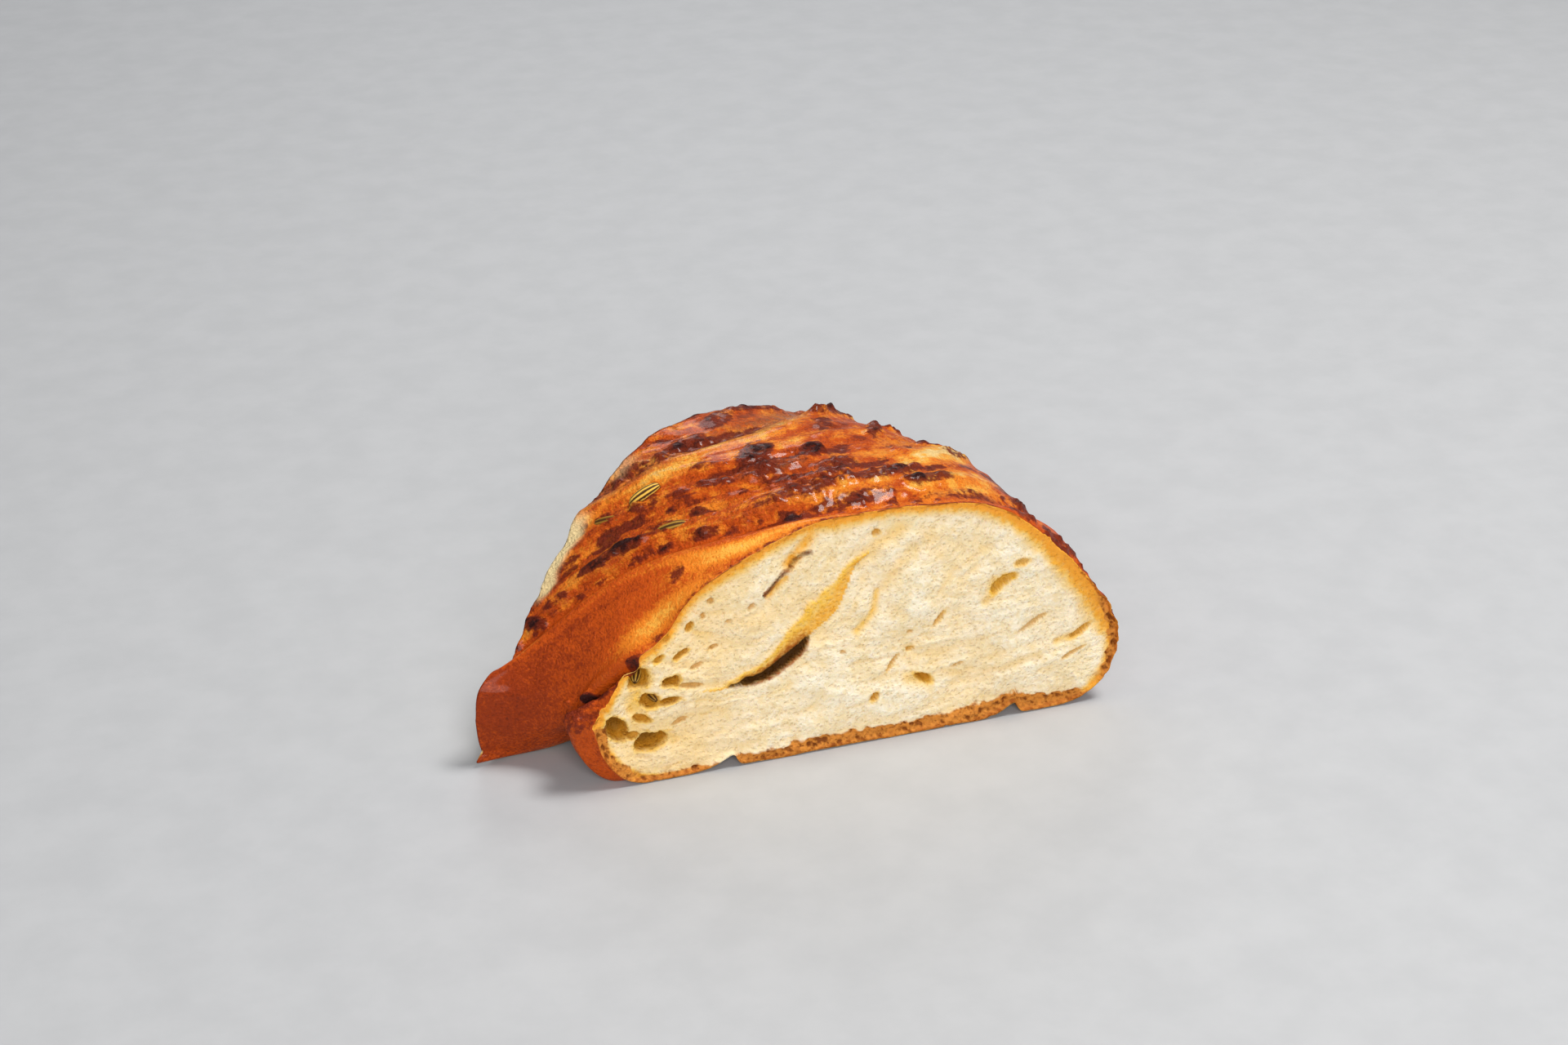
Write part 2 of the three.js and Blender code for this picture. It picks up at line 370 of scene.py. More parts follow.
@dataclass(frozen=True)
class LoafForm:
    """The plain form between the two cuts, before any strand, lump or pore is raised on it."""

    columns: int = 280
    spine_inset: float = 0.05

    def across(self) -> Array:
        """Each column's share of the way across, out over the crust and back under the base."""
        out = np.linspace(0.0, 1.0, self.columns + 1)
        return np.concatenate([out, out[-2:0:-1]])

    def on_crust(self) -> Array:
        """Which columns lie on the crust; the others lie on the base."""
        return np.arange(2 * self.columns) <= self.columns

    def loops(self, across: Array) -> Array:
        """The four sections as loops: over the crust to the outer edge and back along the base."""
        crust = np.stack([section.crust_line(across) for section in SECTIONS])
        base = np.stack([section.base_line(across) for section in SECTIONS])
        return np.where(self.on_crust()[None, :, None], crust, base)

    def between(self, loops: Array, around: Array) -> Array:
        """The loops blended by a Catmull-Rom cubic from section to section.

        Args:
            loops: the four sections' loops.
            around: the shares of the way from the first cut to the second.

        Returns:
            One loop for each share.
        """
        padded = np.concatenate([2 * loops[:1] - loops[1:2], loops, 2 * loops[-1:] - loops[-2:-1]])
        place = around * (len(loops) - 1)
        start = np.clip(np.floor(place), 0, len(loops) - 2).astype(int)
        t = (place - start)[:, None, None]
        return hermite(padded[start], padded[start + 1], padded[start + 2], padded[start + 3], t)

    def outline(self, around: Array) -> Array:
        """The outline's loop of (distance from the axis, height) at each share of the way round."""
        loops = self.between(self.loops(self.across()), around)
        loops[..., 1] = np.maximum(loops[..., 1], 0.0)
        return loops

    def spine(self, around: float) -> Array:
        """The middle line of a cut, halfway between the crust and the base, short of both tips.

        Args:
            around: 0 for the first cut, 1 for the second.

        Returns:
            The middle line's points.
        """
        inset = self.spine_inset + (1.0 - 2.0 * self.spine_inset) * self.across()
        crust = np.stack([section.crust_line(inset) for section in SECTIONS])
        base = np.stack([section.base_line(inset) for section in SECTIONS])
        return self.between(0.5 * (crust + base), np.array([around]))[0]


# ---- The crust ---------------------------------------------------------------------------------


@dataclass(frozen=True)
class Patch:
    """A place on the crust where cheese has melted and browned.

    across and around are its middle's shares of the way over the crust and from cut to cut;
    half_long and half_short its half sizes, and turn the angle of its length from the way across.
    """

    across: float
    around: float
    half_long: float
    half_short: float
    turn: float = 0.0
    height: float = 0.8
    char: float = 0.6
    cheese: float = 0.0


@dataclass(frozen=True)
class ToneAndHighlight:
    """A broad change in the crust's colour, lighter where amount is negative: partly how far it has browned,
    and partly a painted highlight where the crust is lit.
    """

    across: float
    around: float
    half_long: float
    half_short: float
    turn: float
    amount: float


@dataclass(frozen=True)
class Furrow:
    """A valley between two strands, as shares across and around, with the cheese that ran into it."""

    line: tuple[Pair, ...]
    depth: float
    width: float
    shoulder: float
    caramel: float
    cheese: float


FURROWS: tuple[Furrow, ...] = rows(Furrow, (
    (((0.1, 1.02), (0.2, 0.62), (0.3, 0.28), (0.42, 0.12), (0.58, 0.08), (0.74, 0.12), (0.92, 0.3)),
     1.7, 2.8, 0.9, 0.9, 0.0),
    (((0.33, 1.02), (0.4, 0.85), (0.5, 0.77), (0.62, 0.82), (0.72, 0.95)),
     0.9, 2.4, 0.8, 0.45, 0.9),
    (((0.66, 0.44), (0.76, 0.56), (0.88, 0.7), (1.0, 0.78)),
     0.7, 3.2, 0.5, 0.6, 0.3),
))
CREASE: tuple[Pair, ...] = (
    (-0.14, 0.27), (-0.07, 0.25), (-0.01, 0.22), (0.03, 0.165), (0.065, 0.085), (0.1, 0.02),
    (0.13, -0.06),
)

# How browned the crust is along the edge of the first cut, as (share across, value) pairs.
RIM_BROWN: tuple[Pair, ...] = (
    (-0.1, 0.0), (0.0, 0.3), (0.06, 0.5), (0.1, 0.75), (0.13, 0.45), (0.18, 0.15), (0.22, 0.52),
    (0.27, 0.4), (0.32, 0.4), (0.38, 0.52), (0.43, 0.42), (0.5, 0.45), (0.58, 0.62), (0.68, 0.55),
    (0.74, 0.3), (0.8, 0.6), (0.86, 0.4), (0.94, 0.65), (1.0, 0.5),
)

PATCHES: tuple[Patch, ...] = rows(Patch, (
    (0.474, 0.56, 5.6, 2.4, 18, 1.8, 1.05), (0.446, 0.5, 3.2, 2.0, 0, 1.2, 0.95),
    (0.528, 0.475, 4.2, 1.7, 25, 1.6, 1.05), (0.47, 0.44, 6.0, 2.2, 5, 1.8, 0.5, 0.55),
    (0.415, 0.6, 3.2, 1.5, -30, 0.8, 0.6), (0.62, 0.93, 9.0, 1.6, 0, 1.2, 0.8),
    (0.7, 0.8, 8.0, 1.6, 10, 1.2, 0.85), (0.715, 0.62, 5.0, 1.8, 10, 1.2, 0.75),
    (0.72, 0.46, 4.0, 1.6, 10, 1.0, 0.8), (0.955, 0.02, 3.6, 1.6, 0, 1.0, 0.92),
    (0.9, 0.03, 3.0, 1.2, 0, 0.8, 0.85), (0.233, 0.69, 3.2, 1.3, -40, 0.7, 0.95),
    (0.263, 0.58, 3.0, 2.0, -45, 0.9, 1.0), (0.308, 0.3, 2.6, 1.4, -30, 0.7, 0.85),
    (0.335, 0.42, 1.6, 1.6, 0, 0.6, 0.75), (0.18, 0.83, 2.6, 0.9, -35, 0.5, 0.75),
    (0.235, 0.88, 2.2, 1.0, -30, 0.5, 0.7), (0.15, 0.94, 2.6, 1.6, 80, 0.9, 0.95),
    (0.282, 0.72, 2.6, 1.4, -30, 0.6, 0.75), (0.33, 0.66, 2.8, 1.6, -30, 0.5, 0.6),
    (0.384, 0.89, 8.5, 2.2, -35, 0.7, 0.52, 0.8), (0.345, 0.97, 5.0, 1.8, -35, 0.6, 0.55, 0.8),
    (0.45, 0.83, 6.5, 2.0, -5, 0.9, 0.72, 0.6), (0.535, 0.9, 6.0, 2.6, 20, 0.9, 0.75, 0.3),
    (0.436, 0.43, 4.4, 3.0, -20, 1.7, 0.62, 0.3), (0.392, 0.5, 3.4, 2.0, -40, 0.9, 0.75),
    (0.445, 0.25, 10.0, 3.0, 0, 1.0, 0.62, 0.2), (0.52, 0.33, 6.0, 3.0, 15, 1.3, 0.72, 0.3),
    (0.57, 0.24, 9.0, 2.4, 4, 1.2, 0.74, 0.3), (0.625, 0.18, 6.0, 1.8, 6, 1.0, 0.8),
    (0.675, 0.11, 7.5, 1.5, 5, 0.9, 0.62, 0.5), (0.405, 0.12, 7.0, 1.1, -12, 0.5, 0.8),
    (0.5, 0.13, 11.0, 1.5, 2, 0.8, 0.76, 0.1), (0.455, 0.34, 4.6, 1.6, -10, 1.1, 0.8),
    (0.24, 0.18, 2.6, 1.5, 10, 0.6, 0.62), (0.012, 0.09, 3.2, 2.8, -20, 1.7, 0.62),
    (0.03, 0.16, 2.2, 1.5, 60, 1.1, 1.05), (0.052, 0.07, 2.8, 1.3, -30, 1.0, 0.8),
    (0.08, 0.03, 2.4, 1.0, -20, 0.8, 0.74), (0.107, 0.01, 2.2, 1.3, -10, 1.0, 0.95),
    (0.16, 0.02, 1.5, 0.8, 0, 0.4, 0.55), (0.35, 0.55, 3.0, 2.4, 0, 0.5, 0.5),
    (0.296, 0.48, 3.6, 1.8, -32, 0.7, 0.62), (0.303, 0.82, 3.4, 1.8, -58, 0.8, 0.55),
    (0.335, 0.7, 3.2, 1.4, -20, 0.5, 0.62), (0.62, 0.65, 7.0, 1.5, 40, 0.9, 0.78, 0.4),
    (0.66, 0.55, 6.0, 1.4, 40, 0.9, 0.75, 0.3), (0.69, 0.82, 7.0, 2.2, 30, 1.0, 0.8, 0.3),
    (0.74, 0.03, 5.0, 1.5, 0, 0.8, 0.78), (0.811, 0.03, 5.0, 1.9, 0, 1.0, 0.85),
    (0.864, 0.06, 4.0, 1.9, 10, 0.9, 0.78), (0.8, 0.2, 5.0, 2.2, 20, 0.9, 0.8),
    (0.74, 0.4, 7.0, 2.0, 30, 0.9, 0.65, 0.4), (0.83, 0.58, 8.0, 2.6, 35, 1.0, 0.75, 0.3),
    (0.93, 0.8, 7.0, 3.0, 40, 0.9, 0.65), (0.78, 0.9, 6.0, 2.6, 20, 0.9, 0.6, 0.4),
    (0.9, 0.42, 4.0, 2.2, 10, 0.8, 0.7),
))

# Some of the lighter tones, on the strands' ridges near across 0.5 to 0.7, are painted highlights.
TONES_AND_HIGHLIGHTS: tuple[ToneAndHighlight, ...] = rows(ToneAndHighlight, (
    (0.03, 0.85, 18, 9, 0, 0.13), (0.06, 0.4, 12, 8, 0, 0.03), (0.15, 0.1, 8, 2.4, -8, -0.2),
    (0.215, 0.07, 12, 2.0, -12, -0.22), (0.3, 0.1, 14, 1.8, -20, -0.24), (0.25, 0.28, 12, 1.2, -38, -0.1),
    (0.36, 0.05, 8, 1.0, -15, 0.05), (0.39, 0.045, 13, 1.3, -8, -0.24), (0.18, 0.38, 10, 1.0, -40, 0.05),
    (0.1, 0.93, 6, 1.6, -50, -0.18), (0.36, 0.78, 14, 1.8, -30, -0.16), (0.48, 0.71, 13, 2.4, 0, -0.26),
    (0.4, 0.36, 10, 2.6, -20, -0.12), (0.3, 0.55, 8, 2.0, -40, -0.08), (0.6, 0.42, 12, 3.0, 30, -0.14),
    (0.6, 0.75, 14, 4.0, 30, -0.18), (0.66, 0.33, 15, 2.6, 20, -0.24), (0.58, 0.07, 14, 1.0, 0, -0.14),
    (0.72, 0.16, 12, 1.4, 12, -0.18), (0.69, 0.22, 12, 3.0, 18, -0.28), (0.7, 0.36, 12, 3.0, 18, -0.24),
    (0.52, 0.24, 16, 2.4, 4, 0.12), (0.42, 0.97, 10, 4.0, 0, -0.06), (0.78, 0.05, 14, 2.0, 0, -0.1),
    (0.88, 0.6, 20, 12, 0, 0.08), (0.97, 0.4, 8, 30, 0, 0.1),
))


def crust_path(line: tuple[Pair, ...]) -> Array:
    """A smooth path on the crust, in millimetres, through places given as shares."""
    return spline(np.array(line), PATH_POINTS) * (CRUST_ACROSS, CRUST_ROUND)


@dataclass
class Skin:
    """What the relief puts on a grid: how far it stands out, and the masks that colour it."""

    height: Array
    bake: Array
    char: Array
    cheese: Array
    above: Array
    flow: Array

    def raise_by(self, height: Array, char: Array) -> None:
        """Raises the skin, and darkens it to char where it is lighter."""
        self.height += height
        self.char = np.maximum(self.char, char)


@dataclass(frozen=True)
class SkinNoise:
    """The noises that all of the crust's relief shares: strands, streaks and bubbles."""

    strands: Array
    streaks: Array
    wander: Array
    ragged: Array
    fine: Array
    domes: Array


@dataclass(frozen=True)
class CrustRelief:
    """Strands, furrows, lumps of browned cheese and the small blisters of a baked skin."""

    bubble_size: float = 2.4
    crease_depth: float = 2.8
    crease_width: float = 1.3
    foot_swell: float = 3.4
    plain_bake: float = 0.55
    strand_length: float = 90.0
    streak_cells: Pair = (0.12, 0.70)
    strand_cells: Pair = (0.035, 0.21)
    wander_size: float = 9.0
    ragged_size: float = 2.2
    pore_size: float = 1.15
    seed: int = 11

    def local(self, across: Array, around: Array, radius: Array, middle: Pair) -> Array:
        """Offsets on the crust from a place, as millimetres across and round.

        Args:
            across: shares of the way over the crust.
            around: shares of the way round.
            radius: distances from the ring's axis.
            middle: the place, as shares.

        Returns:
            The offsets.
        """
        return np.stack([
            (across - middle[0]) * CRUST_ACROSS,
            (around - middle[1]) * WEDGE * radius,
        ], axis=-1)

    def noises(self, points: Array, strand: Array) -> SkinNoise:
        """Layered noise and bowls over the points, and noise drawn out along the strands.

        Args:
            points: the plain form's points.
            strand: places as millimetres along the first furrow and away from it.

        Returns:
            The noises.
        """
        return SkinNoise(
            strands=layered_noise(strand * np.array(self.strand_cells), 1.0, self.seed + 41, 2),
            streaks=layered_noise(strand * np.array(self.streak_cells), 1.0, self.seed, 3),
            wander=layered_noise(points, self.wander_size, self.seed + 3, 3),
            ragged=layered_noise(points, self.ragged_size, self.seed + 7, 3),
            fine=bowls(points, self.pore_size, self.seed + 13, 0.7, 0.3, 0.7),
            domes=bowls(points, self.bubble_size, self.seed + 9, 0.8, 0.35, 0.75),
        )

    def skin(self, across: Array, around: Array, radius: Array, points: Array) -> Skin:
        """The relief and the masks at every point of the crust.

        Height is the sum of the strands' noise, bell-shaped valleys along the furrows, domes with
        bubbles on them for the patches, beads of cheese, a browned rim, the crease and the foot.

        Args:
            across: shares of the way over the crust, negative where the base turns under its inner edge.
            around: shares of the way from the first cut to the second.
            radius: distances from the ring's axis.
            points: the plain form's points.

        Returns:
            The heights and masks.
        """
        plane = np.stack([across * CRUST_ACROSS, around * CRUST_ROUND], axis=-1)
        gaps = [distance_to_path(plane, crust_path(furrow.line)) for furrow in FURROWS]
        reach = gaps[0].distance * gaps[0].side
        above = smooth(-1.5, 2.5, reach)
        strand = np.stack([gaps[0].along * self.strand_length, reach], axis=-1)
        noise = self.noises(points, strand)
        zero = np.zeros_like(reach)
        flow = np.stack([strand[..., 0] * 0.22, reach, zero], axis=-1) * MM
        skin = Skin(
            height=0.30 * noise.wander
            + above * (0.95 * noise.strands + 0.20 * noise.streaks + 0.20 * noise.ragged),
            bake=self.plain_bake + (0.03 + 0.13 * above) * noise.wander
            + above * (0.10 * noise.streaks + 0.12 * noise.ragged - 0.06)
            + above * (0.035 - 0.12 * smooth(-0.1, 0.6, noise.strands)),
            char=zero, cheese=zero, above=above, flow=flow,
        )
        for furrow, gap in zip(FURROWS, gaps):
            self.press_furrow(skin, noise, furrow, gap)
        for patch in PATCHES:
            offset = self.local(across, around, radius, (patch.across, patch.around))
            self.raise_patch(skin, noise, patch, offset)
        # The tones' sum: the crust's own browning, with painted highlights among the lighter ones; the dark
        # valleys are kept off those.
        light = zero
        for tone in TONES_AND_HIGHLIGHTS:
            offset = self.local(across, around, radius, (tone.across, tone.around))
            light = light + tone.amount * np.exp(-blob(offset, tone.half_long, tone.half_short, tone.turn))
        skin.bake += light
        valleys = smooth(-0.18, -0.55, noise.strands + 0.35 * noise.ragged + 0.25 * noise.wander)
        skin.char = np.maximum(skin.char, 0.62 * above * valleys * smooth(-0.18, -0.04, light))
        self.raise_beads(skin, noise, across, around)
        near_cut = smooth(1.9, 0.4, around * WEDGE * radius * (1.0 + 0.9 * noise.ragged))
        edge = table(RIM_BROWN, across) * near_cut
        skin.raise_by(0.5 * edge * (0.4 + noise.domes), edge * (0.8 + 0.5 * noise.domes + 0.4 * noise.ragged))
        skin.height += self.crease(plane, skin.char, noise.ragged) + self.foot(across, around)
        end = smooth(0.86, 0.94, across) * smooth(0.9, 0.2, around)
        skin.height += end * (0.8 * layered_noise(points, 3.0, self.seed + 31, 2) - 0.5 * noise.fine)
        for name in ("bake", "char", "cheese"):
            setattr(skin, name, np.clip(getattr(skin, name), 0, 1))
        return skin

    def press_furrow(self, skin: Skin, noise: SkinNoise, furrow: Furrow, gap: PathDistance) -> None:
        """Presses a furrow in: a bell-shaped valley, a shoulder below it with a painted highlight, and cheese
        run in above it.

        Args:
            skin: the relief so far, which is changed in place.
            noise: the shared noises.
            furrow: the furrow.
            gap: the distances to it.
        """
        reach = gap.distance * gap.side
        valley = bell(gap.distance, furrow.width)
        skin.height += furrow.shoulder * bell(reach + 4.2, 2.6) - furrow.depth * valley
        ran = bell(reach - 0.9, 1.7) * smooth(-0.25, 0.25, noise.ragged + 0.6 * noise.wander)
        skin.raise_by(0.7 * furrow.caramel * ran * (0.3 + noise.domes),
                      furrow.caramel * ran * (0.55 + 0.6 * noise.domes))
        skin.cheese = np.maximum(skin.cheese, furrow.cheese * bell(reach, 3.2))
        # The shoulder below the furrow is painted lighter: a painted highlight on the lit ridge.
        lit = bell(reach + 2.8, 1.1) + 0.6 * bell(reach + 6.0, 0.8)
        skin.bake -= 0.13 * lit * smooth(-0.6, 0.4, noise.streaks + noise.wander)

    def raise_patch(self, skin: Skin, noise: SkinNoise, patch: Patch, offset: Array) -> None:
        """Raises a patch of cheese: a smooth step inside a ragged oval, with bubbles on it.

        Args:
            skin: the relief so far, which is changed in place.
            noise: the shared noises.
            patch: the patch.
            offset: offsets from its middle, in millimetres.
        """
        gap = blob(offset, patch.half_long, patch.half_short, patch.turn)
        inside = smooth(1.7, 0.35, gap * (1.0 + 0.7 * noise.ragged + 0.5 * noise.wander))
        skin.raise_by(inside * patch.height * (0.42 + 1.00 * noise.domes + 0.45 * noise.fine),
                      patch.char * inside * (0.74 + 0.42 * noise.domes + 0.32 * noise.ragged))
        skin.cheese = np.maximum(skin.cheese, patch.cheese * inside)

    def raise_beads(self, skin: Skin, noise: SkinNoise, across: Array, around: Array) -> None:
        """Raises small beads of cheese where the noises' sum is high, fewer beside the first cut's crown.

        Args:
            skin: the relief so far, which is changed in place.
            noise: the shared noises.
            across: shares of the way over the crust.
            around: shares of the way from the first cut to the second.
        """
        lively = skin.above * (1.0 - 0.75 * smooth(0.52, 0.64, across) * smooth(0.55, 0.40, around))
        beads = lively * smooth(0.30, 0.56, noise.ragged * 0.42 + 0.35 * noise.streaks + 0.45 * noise.wander)
        skin.raise_by(0.55 * beads * (0.3 + noise.domes), 0.66 * beads * (0.5 + 0.7 * noise.domes))

    def foot(self, across: Array, around: Array) -> Array:
        """How far the foot swells just behind the first cut, before the crease: a product of steps."""
        behind = smooth(0.0, 0.11, around) * smooth(0.27, 0.17, around)
        return self.foot_swell * behind * smooth(-0.15, -0.09, across) * smooth(0.05, -0.01, across)

    def crease(self, plane: Array, char: Array, ragged: Array) -> Array:
        """The fold where the tongue of dough leaves the foot: a narrow valley with a lip past it.

        Args:
            plane: places on the crust as millimetres across and round.
            char: the dark mask, which the valley's floor deepens in place.
            ragged: noise that breaks the edges.

        Returns:
            The height to add.
        """
        gap = distance_to_path(plane, crust_path(CREASE))
        strength = smooth(1.0, 0.78, gap.along)
        valley = bell(gap.distance, self.crease_width) * strength
        lip = bell(gap.distance * gap.side - 3.4, 2.0) * strength
        np.maximum(char, 0.75 * valley * smooth(-0.5, 0.3, ragged), out=char)
        return 0.7 * lip - self.crease_depth * valley


@dataclass(frozen=True)
class BaseRelief:
    """The underside: a dry porous base with seams where the strands meet.

    A seam is a gentle slope on the side of the ring's axis and a steep step on the other.
    """

    seams: tuple[float, ...] = (73.6, 131.0)
    seam_height: float = 2.5
    slope_width: float = 3.4
    step_width: float = 0.8
    arch: float = 4.5
    seed: int = 71

    def height(self, radius: Array, around: Array, points: Array) -> Array:
        """How far the underside lies above its plain form.

        Args:
            radius: distances from the ring's axis.
            around: shares of the way from the first cut to the second.
            points: the plain form's points.

        Returns:
            Seams that fade with the way from the first cut, pores and a little unevenness.
        """
        rise = 0.25 * (1.0 + layered_noise(points, 7.0, self.seed, 3))
        rise += 0.6 * bowls(points, 1.6, self.seed + 2, 0.5, 0.2, 0.55)
        for place in self.seams:
            line = np.stack([around * 3.0, np.full_like(around, place)], -1)
            wander = 2.5 * value_noise(line, self.seed + 4)
            gap = radius - place - wander * around * 4.0
            fade = 1.0 - 0.75 * smooth(0.0, 0.5, around)
            width = np.where(gap < 0.0, self.slope_width, self.step_width)
            rise += self.seam_height * fade * np.exp(-((np.abs(gap) / width) ** 1.6))
        return rise

    def tongue_arch(self, radius: Array, around: Array) -> Array:
        """How far the base is lifted where the tongue stands free of the floor: a product of steps."""
        free = smooth(0.19, 0.27, around) * smooth(0.85, 0.38, around)
        return self.arch * free * smooth(72.0, 58.0, radius)


# ---- The cuts ----------------------------------------------------------------------------------


@dataclass(frozen=True)
class Hole:
    """A gas bubble or a tear opened by the knife: its place, half sizes, turn and depth."""

    radius: float
    height: float
    half_long: float
    half_short: float
    turn: float = 0.0
    depth: float = 1.0
    yellow: float = 0.5


@dataclass(frozen=True)
class Stain:
    """A streak where butter or cheese soaked in: its path, half width and strength."""

    path: tuple[Pair, ...]
    width: float
    yellow: float
    orange: float = 0.0


@dataclass(frozen=True)
class Fold:
    """A fold between strands that the knife crossed.

    path runs from its lower end to its upper end. wall is the width of the slanting wall above the
    gap, gap the gap's half width and brown how browned the wall is, as (way along, value) pairs.
    dark is how strong the painted shadow in the gap is.
    """

    path: tuple[Pair, ...]
    gap: tuple[Pair, ...]
    wall: tuple[Pair, ...]
    brown: tuple[Pair, ...]
    depth: float
    dark: float = 1.0


@dataclass
class Face:
    """A cut on a grid: where its points lie, their noises, the depth and the masks that colour it.

    place holds pairs of distance from the ring's axis and height, rim the distance from the cut's
    outline and across the outline's share of the way across, opposite each point. on_crust says
    whether the nearest outline is crust; elsewhere it is the base.
    """

    place: Array
    rim: Array
    across: Array
    on_crust: Array
    seed: int

    def __post_init__(self) -> None:
        """Works out the noises and starts with no depth and no masks."""
        self.warp = np.stack([layered_noise(self.place, 8.0, self.seed + k, 3) for k in (1, 2)], axis=-1)
        self.ragged = layered_noise(self.place, 1.5, self.seed + 19, 3)
        self.swell = layered_noise(self.place, 10.0, self.seed + 15, 3)
        self.depth = np.zeros_like(self.rim)
        self.masks = {name: np.zeros_like(self.rim) for name in CRUMB_MASKS}

    def darken(self, **masks: Array) -> None:
        """Raises masks to new values where these are higher."""
        for name, values in masks.items():
            self.masks[name] = np.maximum(self.masks[name], values)


@dataclass(frozen=True)
class CutRelief:
    """The crumb laid open by one knife cut."""

    holes: tuple[Hole, ...]
    folds: tuple[Fold, ...]
    stains: tuple[Stain, ...]
    toast_line: tuple[Pair, ...]
    soak_line: tuple[Pair, ...]
    foot_line: tuple[Pair, ...]
    open_crumb: tuple[Pair, ...]
    seed: int
    torn: bool = False
    layer_top: float = 22.0
    layer_slope: float = 0.16
    layer_middle: float = 100.0
    run_out: float = 90.0

    def grain(self, place: Array) -> Array:
        """Coordinates that follow the stretched crumb: along its layers, and from layer to layer.

        Above the main fold the layers run beside it and its straight run past both ends; near the
        base they lie down along the base.

        Args:
            place: pairs of distance from the ring's axis and height.

        Returns:
            Pairs of the way along the layers and the height across them.
        """
        line = spline(np.array(self.folds[0].path), FOLD_POINTS)
        before = line[:1] - self.run_out * (line[1] - line[0])
        after = line[-1:] + self.run_out * (line[-1] - line[-2])
        near = distance_to_path(place, np.concatenate([before, line, after]))
        reach = near.distance * near.side
        lying = place[..., 1] - self.layer_slope * (place[..., 0] - self.layer_middle)
        low = smooth(self.layer_top + 6.0, self.layer_top - 8.0, lying) * smooth(3.0, -5.0, reach)
        return np.stack([place.sum(axis=-1) * 0.7, mix(reach, lying, low)], axis=-1)

    def shape(self, face: Face) -> None:
        """Works out a cut's depth and masks, in place.

        Args:
            face: the cut, which is changed in place.
        """
        self.crumb(face)
        for hole in self.holes:
            self.open_hole(face, hole)
        for stain in self.stains:
            near = distance_to_path(face.place + 0.5 * face.warp, spline(np.array(stain.path), STAIN_POINTS))
            spread = bell(near.distance, stain.width) * (1.0 + 0.3 * face.ragged)
            face.darken(butter=stain.yellow * spread, soak=stain.orange * spread)
            face.depth += 0.55 * stain.yellow * spread
        for fold in self.folds:
            self.open_fold(face, fold)
        self.toast_rim(face)
        face.depth *= smooth(0.0, 0.8, face.rim)
        if self.torn:
            face.depth *= mix(1.0, smooth(0.5, 8.0, face.rim), smooth(0.42, 0.32, face.across))
        for name, values in face.masks.items():
            face.masks[name] = np.clip(values, 0.0, 1.0)

    def crumb(self, face: Face) -> None:
        """The plain crumb: webs and fibres along the grain, and pores as bowls drawn out along it.

        Args:
            face: the cut, which is changed in place.
        """
        grain = self.grain(face.place + 1.6 * face.warp)
        webs = layered_noise(grain * np.array([0.16, 0.62]), 1.0, self.seed + 9, 3)
        fibres = layered_noise(grain * np.array([0.30, 1.5]), 1.0, self.seed + 12, 2)
        openness = table(self.open_crumb, face.place[..., 0])
        cells = grain * np.array([0.60, 0.95])
        pores = 0.95 * bowls(cells, 2.1, self.seed + 3, 0.34, 0.08, 0.34) * openness
        pores += 0.8 * bowls(cells, 1.1, self.seed + 5, 0.45, 0.1, 0.42) * (0.35 + 0.65 * openness)
        face.depth = (0.45 + 0.75 * face.swell + 0.24 * webs + 0.04 * fibres + 0.8 * pores
                      + 0.14 * face.ragged)
        yellow = 0.02 + 0.26 * face.swell + 0.26 * smooth(0.05, 0.75, webs) + 0.36 * openness
        # The pores' mask here is painted shade, darker where a pore is deeper.
        face.masks |= {"hollow": smooth(0.12, 0.60, pores) * 0.42, "butter": np.clip(yellow, 0.0, 1.0)}

    def open_hole(self, face: Face, hole: Hole) -> None:
        """Opens a hole: one less the squared distance in a ragged oval, to the power 0.75.

        Args:
            face: the cut, which is changed in place.
            hole: the hole.
        """
        bent = face.place + 1.1 * face.warp * min(1.0, hole.half_short)
        offset = bent - np.array([hole.radius, hole.height])
        gap = blob(offset, hole.half_long, hole.half_short, hole.turn) * (1.0 + 0.65 * face.ragged)
        bowl = np.clip(1.0 - gap, 0.0, None) ** 0.75
        face.depth += hole.depth * bowl
        # The hole's walls get painted shade, and deep holes get a painted shadow at their bottom; the butter
        # yellow round them is a stain.
        face.darken(
            hollow=smooth(0.0, 0.45, bowl) * min(1.0, 0.45 + 0.25 * hole.depth),
            deep=0.6 * smooth(0.5, 1.0, bowl) * smooth(1.6, 3.6, np.array(hole.depth)),
            butter=hole.yellow * smooth(2.6, 0.8, gap),
        )

